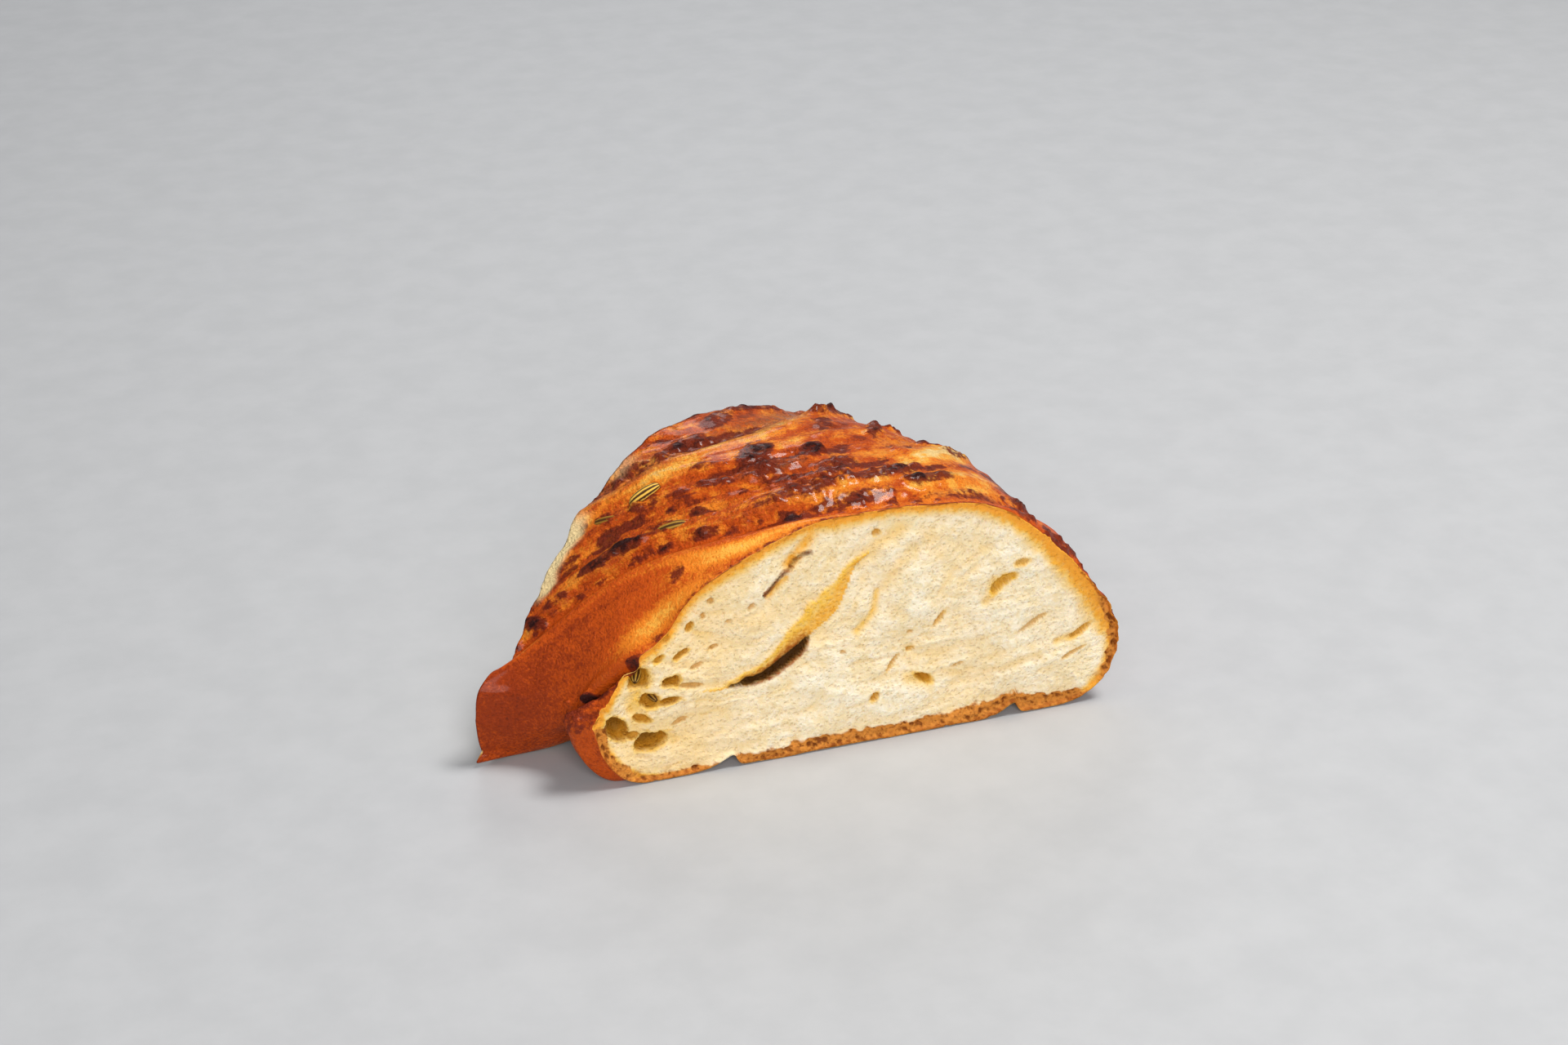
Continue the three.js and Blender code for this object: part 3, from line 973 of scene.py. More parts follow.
    def open_fold(self, face: Face, fold: Fold) -> None:
        """Opens a fold: a slit of the gap's width, and a wall that rises evenly from its floor.

        Args:
            face: the cut, which is changed in place.
            fold: the fold.
        """
        path = spline(np.array(fold.path), FOLD_POINTS)
        near = distance_to_path(face.place + 0.30 * face.ragged[..., None], path)
        knots = value_noise(near.along[..., None] * (9.0, 9.0), self.seed + 27)
        gap = table(fold.gap, near.along) * (1.0 + 0.45 * knots)
        wall = table(fold.wall, near.along) * (1.0 - 0.3 * knots)
        ends = smooth(0.0, 0.03, near.along) * smooth(1.0, 0.97, near.along)
        opened = smooth(0.05, 0.15, gap) * ends
        slit = smooth(np.maximum(gap - 0.10, 0.3 * gap + 0.01), gap * 0.2, near.distance) * opened
        reach = near.distance * near.side
        ramp = np.clip((gap + wall - reach) / np.maximum(wall, 0.1), 0.0, 1.0) * (reach > -gap)
        ramp = ramp * smooth(0.15, 0.6, wall)
        on_wall = smooth(0.0, 0.12, ramp)
        face.depth = mix(face.depth, 0.2 + 0.6 * np.minimum(wall / 2.0, 1.0) * ramp, on_wall)
        face.depth += fold.depth * slit
        for name in ("hollow", "butter"):
            face.masks[name] = face.masks[name] * (1.0 - on_wall)
        lips = smooth(gap + 0.8, gap + 0.3, near.distance) * ends
        # The gap gets a painted shadow; the brown on its lips and wall is browned crust.
        face.darken(
            deep=fold.dark * smooth(gap + 0.34, gap - 0.22, near.distance) * opened,
            butter=on_wall,
            soak=0.55 * on_wall * smooth(0.1, 0.7, ramp),
            brown=table(fold.brown, near.along) * np.maximum(on_wall * smooth(0.15, 0.85, ramp), lips),
        )

    def toast_rim(self, face: Face) -> None:
        """Browns the cut's edge: coarse toasted crumb over the base, and butter inside the crust.

        Args:
            face: the cut, which is changed in place.
        """
        rim, across, ragged, swell = face.rim, face.across, face.ragged, face.swell
        thick = table(self.toast_line, face.place[..., 0]) * (1.0 + 0.30 * ragged + 0.12 * swell)
        end = smooth(2.6, 1.6, rim + 1.5 * ragged) * smooth(0.90, 0.96, across)
        foot = smooth(2.9, 1.7, rim + 1.3 * ragged) * smooth(0.145, 0.10, across)
        foot = foot * (~face.on_crust | self.torn)
        toast = np.maximum(smooth(thick + 0.5, thick - 0.5, face.place[..., 1]), np.maximum(end, foot))
        width = table(self.soak_line, across) * (1.0 + 0.30 * swell + 0.18 * ragged)
        width = np.where(face.on_crust, width, table(self.foot_line, across) * (1.0 + 0.3 * ragged))
        stained = smooth(0.1, 0.5, width)
        width = np.maximum(width, THINNEST)
        line = smooth(1.1, 0.3, rim * (1.0 + 0.6 * ragged)) * smooth(-0.10, 0.45, ragged + 1.2 * swell)
        crisp = toast * smooth(1.4, 0.2, rim * (1.0 + 0.5 * ragged))
        face.darken(
            toast=toast,
            butter=smooth(width * 1.7 + 0.4, width * 0.6, rim) * stained,
            soak=smooth(width * 1.30, width * 0.25, rim) * stained,
            brown=0.70 * np.maximum(line * stained, crisp),
        )
        if self.torn:
            face.darken(brown=smooth(2.2, 1.2, rim) * smooth(0.34, 0.24, across))
        coarse = bowls(face.place, 1.1, self.seed + 23, 0.75, 0.2, 0.6)
        face.depth += toast * (0.9 * coarse + 0.25 * ragged)
        # The toasted crumb's coarse pores get painted shade.
        hollow = face.masks["hollow"] * (1.0 - toast)
        face.masks["hollow"] = np.maximum(hollow, 0.9 * toast * smooth(0.10, 0.42, coarse))


FIRST_CUT = CutRelief(
    holes=rows(Hole, (
        (51.4, 13.0, 3.5, 2.2, -52, 3.6, 0.9), (57.8, 8.6, 3.3, 1.9, 8, 3.6, 0.9),
        (54.5, 10.6, 1.6, 0.9, -20, 1.6, 0.9), (62.3, 21.1, 1.9, 1.3, 10, 2.8, 0.9),
        (61.6, 16.7, 2.0, 0.9, -5, 2.2, 0.9), (56.2, 22.9, 2.2, 2.1, 20, 2.6, 0.9),
        (58.3, 17.8, 1.9, 1.5, -20, 2.4, 0.9), (56.4, 14.4, 1.9, 1.0, -30, 1.8, 0.9),
        (63.6, 12.0, 1.8, 0.6, 10, 0.8, 0.5), (54.0, 26.2, 1.6, 1.0, 40, 1.2, 1.0),
        (60.1, 26.3, 1.2, 0.8, 50, 1.4, 1.0), (70.6, 36.6, 0.7, 0.6, 0, 1.2, 0.4),
        (65.8, 31.6, 1.2, 0.7, 60, 1.6, 0.9), (64.4, 26.6, 1.7, 0.8, 25, 1.8, 0.9),
        (61.2, 30.2, 0.8, 0.6, 30, 1.0, 0.8), (68.8, 33.6, 0.7, 0.5, 40, 1.0, 0.6),
        (70.4, 26.7, 1.3, 0.4, 20, 0.8, 0.5), (67.2, 23.4, 1.4, 0.5, 20, 0.8, 0.5),
        (77.8, 34.2, 0.9, 0.5, 50, 0.8, 0.3), (73.6, 31.8, 0.7, 0.4, 30, 0.7, 0.3),
        (66.0, 19.4, 2.6, 0.6, -12, 0.9, 0.5), (102.3, 45.4, 0.8, 0.6, 40, 1.1, 0.8),
        (101.7, 9.6, 0.6, 1.1, -25, 1.6, 0.9), (109.2, 19.0, 0.9, 0.5, 15, 1.2, 0.7),
        (109.3, 22.9, 0.6, 0.5, 0, 0.7, 0.4), (111.9, 11.9, 2.3, 1.0, -40, 2.0, 1.0),
        (126.6, 29.3, 2.0, 1.0, 60, 1.1, 1.0), (128.6, 30.6, 1.5, 0.8, 5, 0.9, 1.0),
        (131.2, 33.6, 1.5, 0.7, 10, 0.6, 0.8), (105.4, 16.3, 2.4, 0.4, 52, 0.9, 0.6),
        (115.2, 24.4, 2.1, 0.5, 52, 0.8, 0.7), (144.3, 16.3, 2.6, 0.6, 28, 1.1, 0.9),
        (142.6, 11.8, 2.4, 0.4, 26, 0.7, 0.5), (95.4, 20.8, 0.6, 0.4, 0, 0.7, 0.4),
        (119.0, 13.6, 1.4, 0.4, 15, 0.7, 0.4), (134.5, 20.0, 3.4, 0.5, 25, 0.6, 0.4),
    )),
    folds=(
        Fold(
            path=(
                (66.5, 18.0), (70.5, 17.4), (74, 17.8), (77, 18.2), (80, 18.7), (82.6, 20.1),
                (84.8, 21.6), (87.2, 23.3), (89.2, 25.7), (91.3, 27.3), (94.4, 29.8), (96.0, 33.2),
                (97.2, 37.0), (98.8, 39.2), (100.6, 41.0),
            ),
            gap=(
                (0.0, 0.0), (0.13, 0.0), (0.16, 0.25), (0.19, 0.2), (0.22, 0.75), (0.3, 0.95), (0.4, 1.0),
                (0.48, 0.95), (0.53, 0.6), (0.57, 0.0), (1.0, 0.0),
            ),
            wall=(
                (0.0, 0.2), (0.12, 0.8), (0.18, 1.6), (0.28, 1.9), (0.4, 2.6), (0.48, 4.0), (0.56, 5.2),
                (0.66, 5.4), (0.78, 4.6), (0.9, 3.0), (1.0, 0.5),
            ),
            brown=(
                (0.0, 0.05), (0.18, 0.3), (0.3, 0.55), (0.45, 0.66), (0.54, 0.55), (0.6, 0.1), (1.0, 0.0),
            ),
            depth=1.4,
        ),
        Fold(
            path=(
                (79.9, 35.8), (81.7, 37.1), (83.0, 38.8), (84.3, 40.2), (85.5, 40.9), (86.1, 41.9),
                (87.5, 43.0), (88.9, 43.4), (90.2, 43.8),
            ),
            gap=(
                (0.0, 0.24), (0.2, 0.22), (0.4, 0.18), (0.52, 0.1), (0.62, 0.26), (0.85, 0.24),
                (1.0, 0.16),
            ),
            wall=((0.0, 0.0), (1.0, 0.0)),
            brown=((0.0, 0.8), (0.3, 0.5), (1.0, 0.4)),
            depth=0.7,
            dark=0.66,
        ),
    ),
    stains=rows(Stain, (
        (((85.4, 41.6), (87.8, 44.4), (90.2, 47.8)), 1.5, 0.95, 0.6),
        (((81.0, 35.6), (82.9, 37.3), (84.8, 38.9)), 0.7, 0.9, 0.45),
        (((99.0, 39.5), (102.5, 42.8), (107.0, 45.5)), 1.9, 0.55),
        (((98.2, 24.6), (100.4, 27.1), (102.0, 29.6), (102.6, 32.8)), 0.9, 0.85, 0.1),
        (((103.5, 33.0), (106.5, 37.5), (110.0, 41.0)), 1.6, 0.45),
        (((84.0, 22.0), (78.0, 19.8), (70.0, 18.6), (64.0, 19.6)), 1.2, 0.45),
        (((68.0, 39.0), (61.5, 32.5), (57.0, 28.5), (53.0, 25.0)), 2.4, 0.95, 0.45),
        (((55.0, 27.0), (56.0, 22.0), (55.0, 17.0)), 2.6, 0.85, 0.15),
        (((63.0, 24.0), (72.0, 31.0), (80.0, 31.5), (88.0, 33.5)), 4.0, 0.34),
        (((55.0, 16.0), (56.0, 11.0), (62.0, 8.5)), 2.2, 0.65),
        (((112.0, 43.0), (114.5, 38.5)), 2.6, 0.35), (((126.0, 30.5), (124.6, 26.5)), 1.2, 0.75),
        (((108.5, 12.6), (112.5, 11.0)), 1.5, 0.7), (((139.5, 14.6), (146.4, 17.4)), 0.8, 0.8),
        (((118.0, 9.2), (127.0, 11.0), (136.0, 12.5)), 1.0, 0.4),
    )),
    toast_line=(
        (45, 0.8), (58, 1.3), (72.5, 1.3), (74, 2.2), (80, 2.4), (90, 2.8), (100, 2.9), (115, 3.0),
        (126, 3.8), (131, 4.8), (134, 4.0), (141, 2.8), (147, 3.0), (152, 3.4),
    ),
    soak_line=(
        (0.0, 2.4), (0.06, 1.8), (0.1, 2.4), (0.16, 3.0), (0.24, 2.0), (0.33, 2.6), (0.4, 2.0),
        (0.46, 2.6), (0.54, 1.6), (0.64, 2.0), (0.72, 2.6), (0.8, 3.6), (0.88, 4.4), (0.95, 4.4),
        (1.0, 3.8),
    ),
    foot_line=(
        (0.0, 2.6), (0.06, 2.6), (0.11, 2.2), (0.16, 1.2), (0.24, 0.0), (0.85, 0.0), (0.92, 2.0),
        (1.0, 3.6),
    ),
    open_crumb=((45, 1.0), (62, 0.95), (72, 0.55), (82, 0.22), (110, 0.16), (150, 0.22)),
    seed=101,
)

SECOND_CUT = CutRelief(
    holes=rows(Hole, (
        (44.0, 9.0, 2.6, 1.4, -30, 3.0, 0.8), (52.0, 20.5, 1.8, 1.2, 20, 2.4, 0.7),
        (63.0, 12.0, 3.0, 1.3, 15, 2.6, 0.7), (70.0, 40.5, 1.6, 0.9, 60, 1.6, 0.6),
        (84.0, 14.0, 1.8, 0.8, 0, 1.4, 0.6), (96.0, 44.0, 2.0, 0.7, -15, 1.2, 0.6),
        (104.0, 12.5, 2.6, 1.2, 20, 2.0, 0.8), (112.0, 38.5, 2.2, 1.0, -25, 1.8, 0.7),
        (121.0, 20.0, 2.4, 1.1, -45, 1.8, 0.7), (131.0, 24.5, 1.4, 0.7, -50, 1.2, 0.5),
        (135.0, 10.0, 2.0, 0.8, 10, 1.4, 0.6),
    )),
    folds=(
        Fold(
            path=((58, 24.5), (66, 26.5), (74, 25.0), (82, 27.5), (90, 33.5), (98, 37.0)),
            gap=((0.0, 0.15), (0.2, 0.5), (0.45, 0.9), (0.7, 0.8), (0.85, 0.3), (0.95, 0.0), (1.0, 0.0)),
            wall=((0.0, 0.2), (0.4, 1.6), (0.7, 2.2), (1.0, 0.5)),
            brown=((0.0, 0.4), (0.5, 0.55), (1.0, 0.1)),
            depth=1.6,
        ),
        Fold(
            path=((108, 27), (114, 29.5), (120, 28.0), (126, 23.5)),
            gap=((0.0, 0.1), (0.4, 0.45), (1.0, 0.15)),
            wall=((0.0, 0.0), (1.0, 0.0)),
            brown=((0.0, 0.6), (1.0, 0.7)),
            depth=1.0,
        ),
    ),
    stains=rows(Stain, (
        (((96.0, 36.5), (104.0, 38.5), (112.0, 37.0)), 2.0, 0.6),
        (((40.0, 14.0), (48.0, 20.0), (56.0, 24.0)), 2.2, 0.7, 0.3),
        (((100.0, 20.0), (108.0, 24.0)), 1.4, 0.6),
    )),
    toast_line=((32, 0.9), (60, 2.0), (100, 3.0), (125, 3.8), (150, 3.4)),
    soak_line=((0.0, 3.4), (0.25, 2.2), (0.35, 1.2), (0.6, 1.0), (0.8, 2.2), (1.0, 3.0)),
    foot_line=((0.0, 2.2), (0.12, 2.0), (0.2, 0.0), (0.85, 0.0), (1.0, 3.0)),
    open_crumb=((32, 0.9), (60, 0.7), (90, 0.25), (150, 0.25)),
    seed=301,
    torn=True,
)


# ---- Meshes ------------------------------------------------------------------------------------


def to_frame(points: Array) -> Array:
    """Ring-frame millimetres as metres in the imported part's frame, found from the CAD slice's box."""
    low, high = (np.array(corner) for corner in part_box("kringle_slice"))
    axis = np.array([high[0] - RING_OUTER * MM, low[1], 0.0])
    return points * MM + axis


def make_mesh(name: str, points: Array, quads: Array, masks: dict[str, Array]) -> bpy.types.Object:
    """A smooth-shaded mesh object with one attribute for each mask.

    Args:
        name: the object's name.
        points: the vertices in metres, one to a row.
        quads: the faces as rows of four vertex numbers.
        masks: for each attribute its numbers, or its vectors, one for each vertex.

    Returns:
        The object, linked to the scene, at the origin.
    """
    mesh = bpy.data.meshes.new(name)
    mesh.vertices.add(len(points))
    mesh.vertices.foreach_set("co", points.astype(np.float32).ravel())
    mesh.loops.add(quads.size)
    mesh.loops.foreach_set("vertex_index", quads.astype(np.int32).ravel())
    mesh.polygons.add(len(quads))
    mesh.polygons.foreach_set("loop_start", np.arange(0, quads.size, 4, dtype=np.int32))
    mesh.polygons.foreach_set("use_smooth", np.ones(len(quads), dtype=bool))
    mesh.update(calc_edges=True)
    for key, values in masks.items():
        kind, field = ("FLOAT_VECTOR", "vector") if values.ndim == 2 else ("FLOAT", "value")
        attribute = mesh.attributes.new(key, kind, "POINT")
        attribute.data.foreach_set(field, values.astype(np.float32).ravel())
    piece = bpy.data.objects.new(name, mesh)
    bpy.context.scene.collection.objects.link(piece)
    return piece


def grid_quads(rows: int, columns: int) -> Array:
    """The faces of a grid whose last column joins its first, as rows of four vertex numbers.

    Args:
        rows: how many rows the grid has.
        columns: how many columns each row has.

    Returns:
        The faces.
    """
    row, column = np.meshgrid(np.arange(rows - 1), np.arange(columns), indexing="ij")
    after = (column + 1) % columns
    corners = (row * columns + column, row * columns + after,
               (row + 1) * columns + after, (row + 1) * columns + column)
    return np.stack(corners, axis=-1).reshape(-1, 4)


# ---- Finishes ----------------------------------------------------------------------------------


class Sheet:
    """A node tree under construction: adds nodes, sets their sockets and links them."""

    def __init__(self, tree: bpy.types.NodeTree) -> None:
        """Starts on a tree, emptying it."""
        self.tree = tree
        tree.nodes.clear()

    def feed(self, node: bpy.types.Node, inputs: dict) -> None:
        """Sets each of a node's inputs, by name or number, to a value, or links it to a socket.

        Args:
            node: the node.
            inputs: for each input its value or socket.
        """
        for key, value in inputs.items():
            if isinstance(value, bpy.types.NodeSocket):
                self.tree.links.new(value, node.inputs[key])
            else:
                node.inputs[key].default_value = value

    def add(self, kind: str, inputs: dict | None = None, **settings: object) -> bpy.types.Node:
        """A node with its settings made and its inputs set or linked.

        Args:
            kind: the node's type name without its ShaderNode prefix.
            inputs: for each input's name or number a value, or the socket to link it to.
            settings: the node's own properties.

        Returns:
            The node.
        """
        prefix = "" if kind.startswith("Node") else "ShaderNode"
        node = self.tree.nodes.new(prefix + kind)
        for key, value in settings.items():
            setattr(node, key, value)
        self.feed(node, inputs or {})
        return node

    def place(self) -> bpy.types.NodeSocket:
        """The object's own coordinates."""
        return self.add("TexCoord").outputs["Object"]

    def group(self, tree: bpy.types.NodeTree, **inputs: object) -> bpy.types.NodeSocket:
        """What a shared group gives for its own values; an underscore stands for a space in a name."""
        named = {key.replace("_", " "): value for key, value in inputs.items()}
        return self.add("Group", named, node_tree=tree).outputs[0]

    def total(self, *terms: object) -> bpy.types.NodeSocket:
        """The sum of some terms: each a number, a socket, or a pair of factors.

        Args:
            terms: what is summed.

        Returns:
            The sum.
        """
        parts = [self.math("MULTIPLY", *term) if isinstance(term, tuple) else term for term in terms]
        whole = parts[0]
        for part in parts[1:]:
            whole = self.math("ADD", whole, part)
        return whole

    def bump(self, shader: bpy.types.Node, height: object, strength: float, distance: float) -> None:
        """Gives a shader a bump of a height map."""
        node = self.add("Bump", {"Height": height, "Strength": strength, "Distance": distance})
        self.feed(shader, {"Normal": node.outputs[0]})

    def math(self, operation: str, a: object, b: object = 0.0, clamp: bool = False) -> bpy.types.NodeSocket:
        """The result of a sum, product or other operation on two numbers."""
        return self.add("Math", {0: a, 1: b}, operation=operation, use_clamp=clamp).outputs[0]

    def attribute(self, name: str, output: str = "Fac") -> bpy.types.NodeSocket:
        """One of the mesh's own masks."""
        return self.add("Attribute", attribute_name=name).outputs[output]

    def blend(self, factor: object, a: object, b: object) -> bpy.types.NodeSocket:
        """Colour a turning into colour b as the factor goes from 0 to 1.

        Args:
            factor: a number or a socket.
            a: the colour at 0.
            b: the colour at 1.

        Returns:
            The blended colour.
        """
        colours = {6: a, 7: b}
        solid = {key: colour if isinstance(colour, bpy.types.NodeSocket) else (*colour, 1.0)
                 for key, colour in colours.items()}
        return self.add("Mix", {0: factor, **solid}, data_type="RGBA", clamp_factor=True).outputs[2]

    def between(self, value: object, low: float, high: float, to_low: float = 0.0,
                to_high: float = 1.0) -> bpy.types.NodeSocket:
        """A number carried smoothly from one range to another."""
        keys = {0: value, 1: low, 2: high, 3: to_low, 4: to_high}
        return self.add("MapRange", keys, interpolation_type="SMOOTHSTEP").outputs[0]


def new_group(name: str, inputs: dict[str, object], output: str,
              kind: str = "Float") -> tuple[Sheet, dict, bpy.types.Node]:
    """An empty shared group with its sockets.

    Args:
        name: the group's name.
        inputs: for each input its default: a number, or None for a vector.
        output: the output's name.
        kind: the output's socket type, without its NodeSocket prefix.

    Returns:
        The sheet to build it on, its inputs' sockets and its output node.
    """
    tree = bpy.data.node_groups.new(name, "ShaderNodeTree")
    for key, default in inputs.items():
        wanted = "NodeSocketVector" if default is None else "NodeSocketFloat"
        socket = tree.interface.new_socket(name=key, in_out="INPUT", socket_type=wanted)
        if default is not None:
            socket.default_value = default
    tree.interface.new_socket(name=output, in_out="OUTPUT", socket_type=f"NodeSocket{kind}")
    sheet = Sheet(tree)
    return sheet, sheet.add("NodeGroupInput").outputs, sheet.add("NodeGroupOutput")


class Shared:
    """The effects that several finishes use, each a group built once."""

    pit_warp = 0.0006
    browns: tuple[tuple[float, Colour], ...] = (
        (0.00, (0.90, 0.62, 0.24)), (0.18, (0.92, 0.42, 0.055)), (0.34, (0.80, 0.215, 0.014)),
        (0.52, (0.53, 0.074, 0.003)), (0.68, (0.27, 0.030, 0.002)), (0.84, (0.095, 0.012, 0.003)),
        (1.00, (0.028, 0.007, 0.004)),
    )

    def __init__(self) -> None:
        """Builds the three groups."""
        self.speckle = self.build_speckle()
        self.pitting = self.build_pitting()
        self.browning = self.build_browning()

    def build_speckle(self) -> bpy.types.NodeTree:
        """Uneven spots of a chosen size: noise about zero times an amount.

        Returns:
            The group.
        """
        sheet, given, result = new_group("speckle", {"Vector": None, "Size mm": 1.0, "Amount": 1.0}, "Value")
        scale = sheet.math("DIVIDE", 1.0 / MM, given["Size mm"])
        noise = sheet.add("TexNoise", {"Vector": given["Vector"], "Scale": scale, "Detail": 4.0,
                                       "Roughness": 0.6})
        doubled = sheet.math("MULTIPLY", sheet.math("SUBTRACT", noise.outputs[0], 0.5), 2.0)
        sheet.feed(result, {"Value": sheet.math("MULTIPLY", doubled, given["Amount"])})
        return sheet.tree

    def build_pitting(self) -> bpy.types.NodeTree:
        """Small pits: one less the distance to the nearest of scattered points over the pit's size.

        Returns:
            The group.
        """
        sheet, given, result = new_group("pitting", {"Vector": None, "Size mm": 0.6, "Share": 0.5}, "Pit")
        scale = sheet.math("DIVIDE", 1.0 / MM, given["Size mm"])
        warp = sheet.add("TexNoise", {"Vector": given["Vector"], "Scale": scale, "Detail": 1.0})
        shift = sheet.add("VectorMath", {0: warp.outputs[1], 1: (self.pit_warp,) * 3}, operation="MULTIPLY")
        moved = sheet.add("VectorMath", {0: given["Vector"], 1: shift.outputs[0]}, operation="ADD")
        cells = sheet.add("TexVoronoi", {"Vector": moved.outputs[0], "Scale": scale})
        pit = sheet.math("DIVIDE", cells.outputs["Distance"], sheet.math("MULTIPLY", given["Share"], 0.7))
        sheet.feed(result, {"Pit": sheet.math("SUBTRACT", 1.0, pit, clamp=True)})
        return sheet.tree

    def build_browning(self) -> bpy.types.NodeTree:
        """The colours that dough goes through in the oven, from pale yellow to nearly black.

        Returns:
            The group.
        """
        sheet, given, result = new_group("browning", {"Browning": 0.5}, "Color", "Color")
        ramp = sheet.add("ValToRGB", {"Fac": given["Browning"]})
        band = ramp.color_ramp
        band.interpolation = "EASE"
        while len(band.elements) < len(self.browns):
            band.elements.new(0.5)
        for element, (place, colour) in zip(band.elements, self.browns):
            element.position = place
            element.color = (*colour, 1.0)
        sheet.feed(result, {"Color": ramp.outputs[0]})
        return sheet.tree


def new_material(name: str) -> tuple[bpy.types.Material, Sheet, bpy.types.Node]:
    """An empty material with its Principled shader wired to its output.

    Args:
        name: the material's name.

    Returns:
        The material, the sheet to build it on and its shader.
    """
    material = bpy.data.materials.new(name)
    material.use_nodes = True
    sheet = Sheet(material.node_tree)
    shader = sheet.add("BsdfPrincipled")
    sheet.add("OutputMaterial", {"Surface": shader.outputs[0]})
    return material, sheet, shader


@dataclass(frozen=True)
class CrustFinish:
    """Glazed crust with melted cheese caramelised on it, and a dry porous base."""

    shared: Shared
    cheese: Colour = (0.36, 0.118, 0.036)
    red: Colour = (0.170, 0.018, 0.004)
    char: Colour = (0.030, 0.005, 0.004)
    bare: Colour = (0.86, 0.66, 0.34)
    base: Colour = (0.52, 0.200, 0.045)
    crumbs: Colour = (0.20, 0.060, 0.012)

    def material(self) -> bpy.types.Material:
        """The finish as a material that reads the slice's masks.

        Returns:
            The material.
        """
        material, sheet, shader = new_material("crust")
        place, speckle = sheet.place(), self.shared.speckle
        bake, char, cheese, base, bare, above = map(sheet.attribute, CRUST_MASKS)
        streaks = sheet.group(speckle, Vector=sheet.attribute("flow", "Vector"), Size_mm=1.3)
        grain, spots, clouds = (sheet.group(speckle, Vector=place, Size_mm=size) for size in (0.45, 1.0, 3.2))
        pits = sheet.group(self.shared.pitting, Vector=place, Size_mm=1.0, Share=0.8)
        mottle = sheet.total((grain, 0.16), (spots, 0.10))
        wild = sheet.total((clouds, 0.36), (streaks, 0.20))
        wild = sheet.math("MULTIPLY", wild, sheet.between(above, 0.0, 1.0, 0.22, 1.0))
        skin = sheet.group(self.shared.browning, Browning=sheet.total(bake, mottle, wild))
        film = sheet.math("MULTIPLY", cheese, sheet.between(spots, -0.30, 0.15, 0.30, 0.95))
        skin = sheet.blend(film, skin, self.cheese)
        lump = sheet.total(char, (spots, 0.34), (streaks, 0.25))
        skin = sheet.blend(sheet.between(lump, 0.30, 0.55, 0.0, 0.95), skin, self.red)
        skin = sheet.blend(sheet.between(lump, 0.58, 0.88), skin, self.char)
        grit = sheet.between(sheet.total((grain, 0.8), pits), 0.0, 0.9)
        skin = sheet.blend(base, skin, sheet.blend(grit, self.base, self.crumbs))
        dry = sheet.math("MAXIMUM", base, bare)
        gloss = sheet.math("MULTIPLY", sheet.math("SUBTRACT", 1.0, dry, clamp=True),
                           sheet.between(above, 0.0, 1.0, 0.13, 0.22))
        rough = sheet.math("SUBTRACT", sheet.total(0.50, (grain, 0.12)), sheet.math("MULTIPLY", char, 0.12))
        sheet.feed(shader, {
            "Base Color": sheet.blend(bare, skin, self.bare),
            "Roughness": sheet.math("ADD", rough, sheet.math("MULTIPLY", dry, 0.40), clamp=True),
            "Coat Weight": sheet.math("MULTIPLY", gloss, sheet.between(char, 0.55, 0.95, 1.0, 0.4)),
            "Coat Roughness": 0.12,
            "Specular IOR Level": 0.10,
        })
        relief = sheet.total((spots, sheet.between(above, 0.0, 1.0, 0.35, 1.1)),
                             (streaks, sheet.between(above, 0.0, 1.0, 0.1, 1.0)), (grain, 0.30))
        porous = sheet.math("MAXIMUM", base, sheet.math("MULTIPLY", cheese, 0.8))
        relief = sheet.math("SUBTRACT", relief, sheet.math("MULTIPLY", pits, porous))
        sheet.bump(shader, relief, 0.9, 0.0008)
        return material


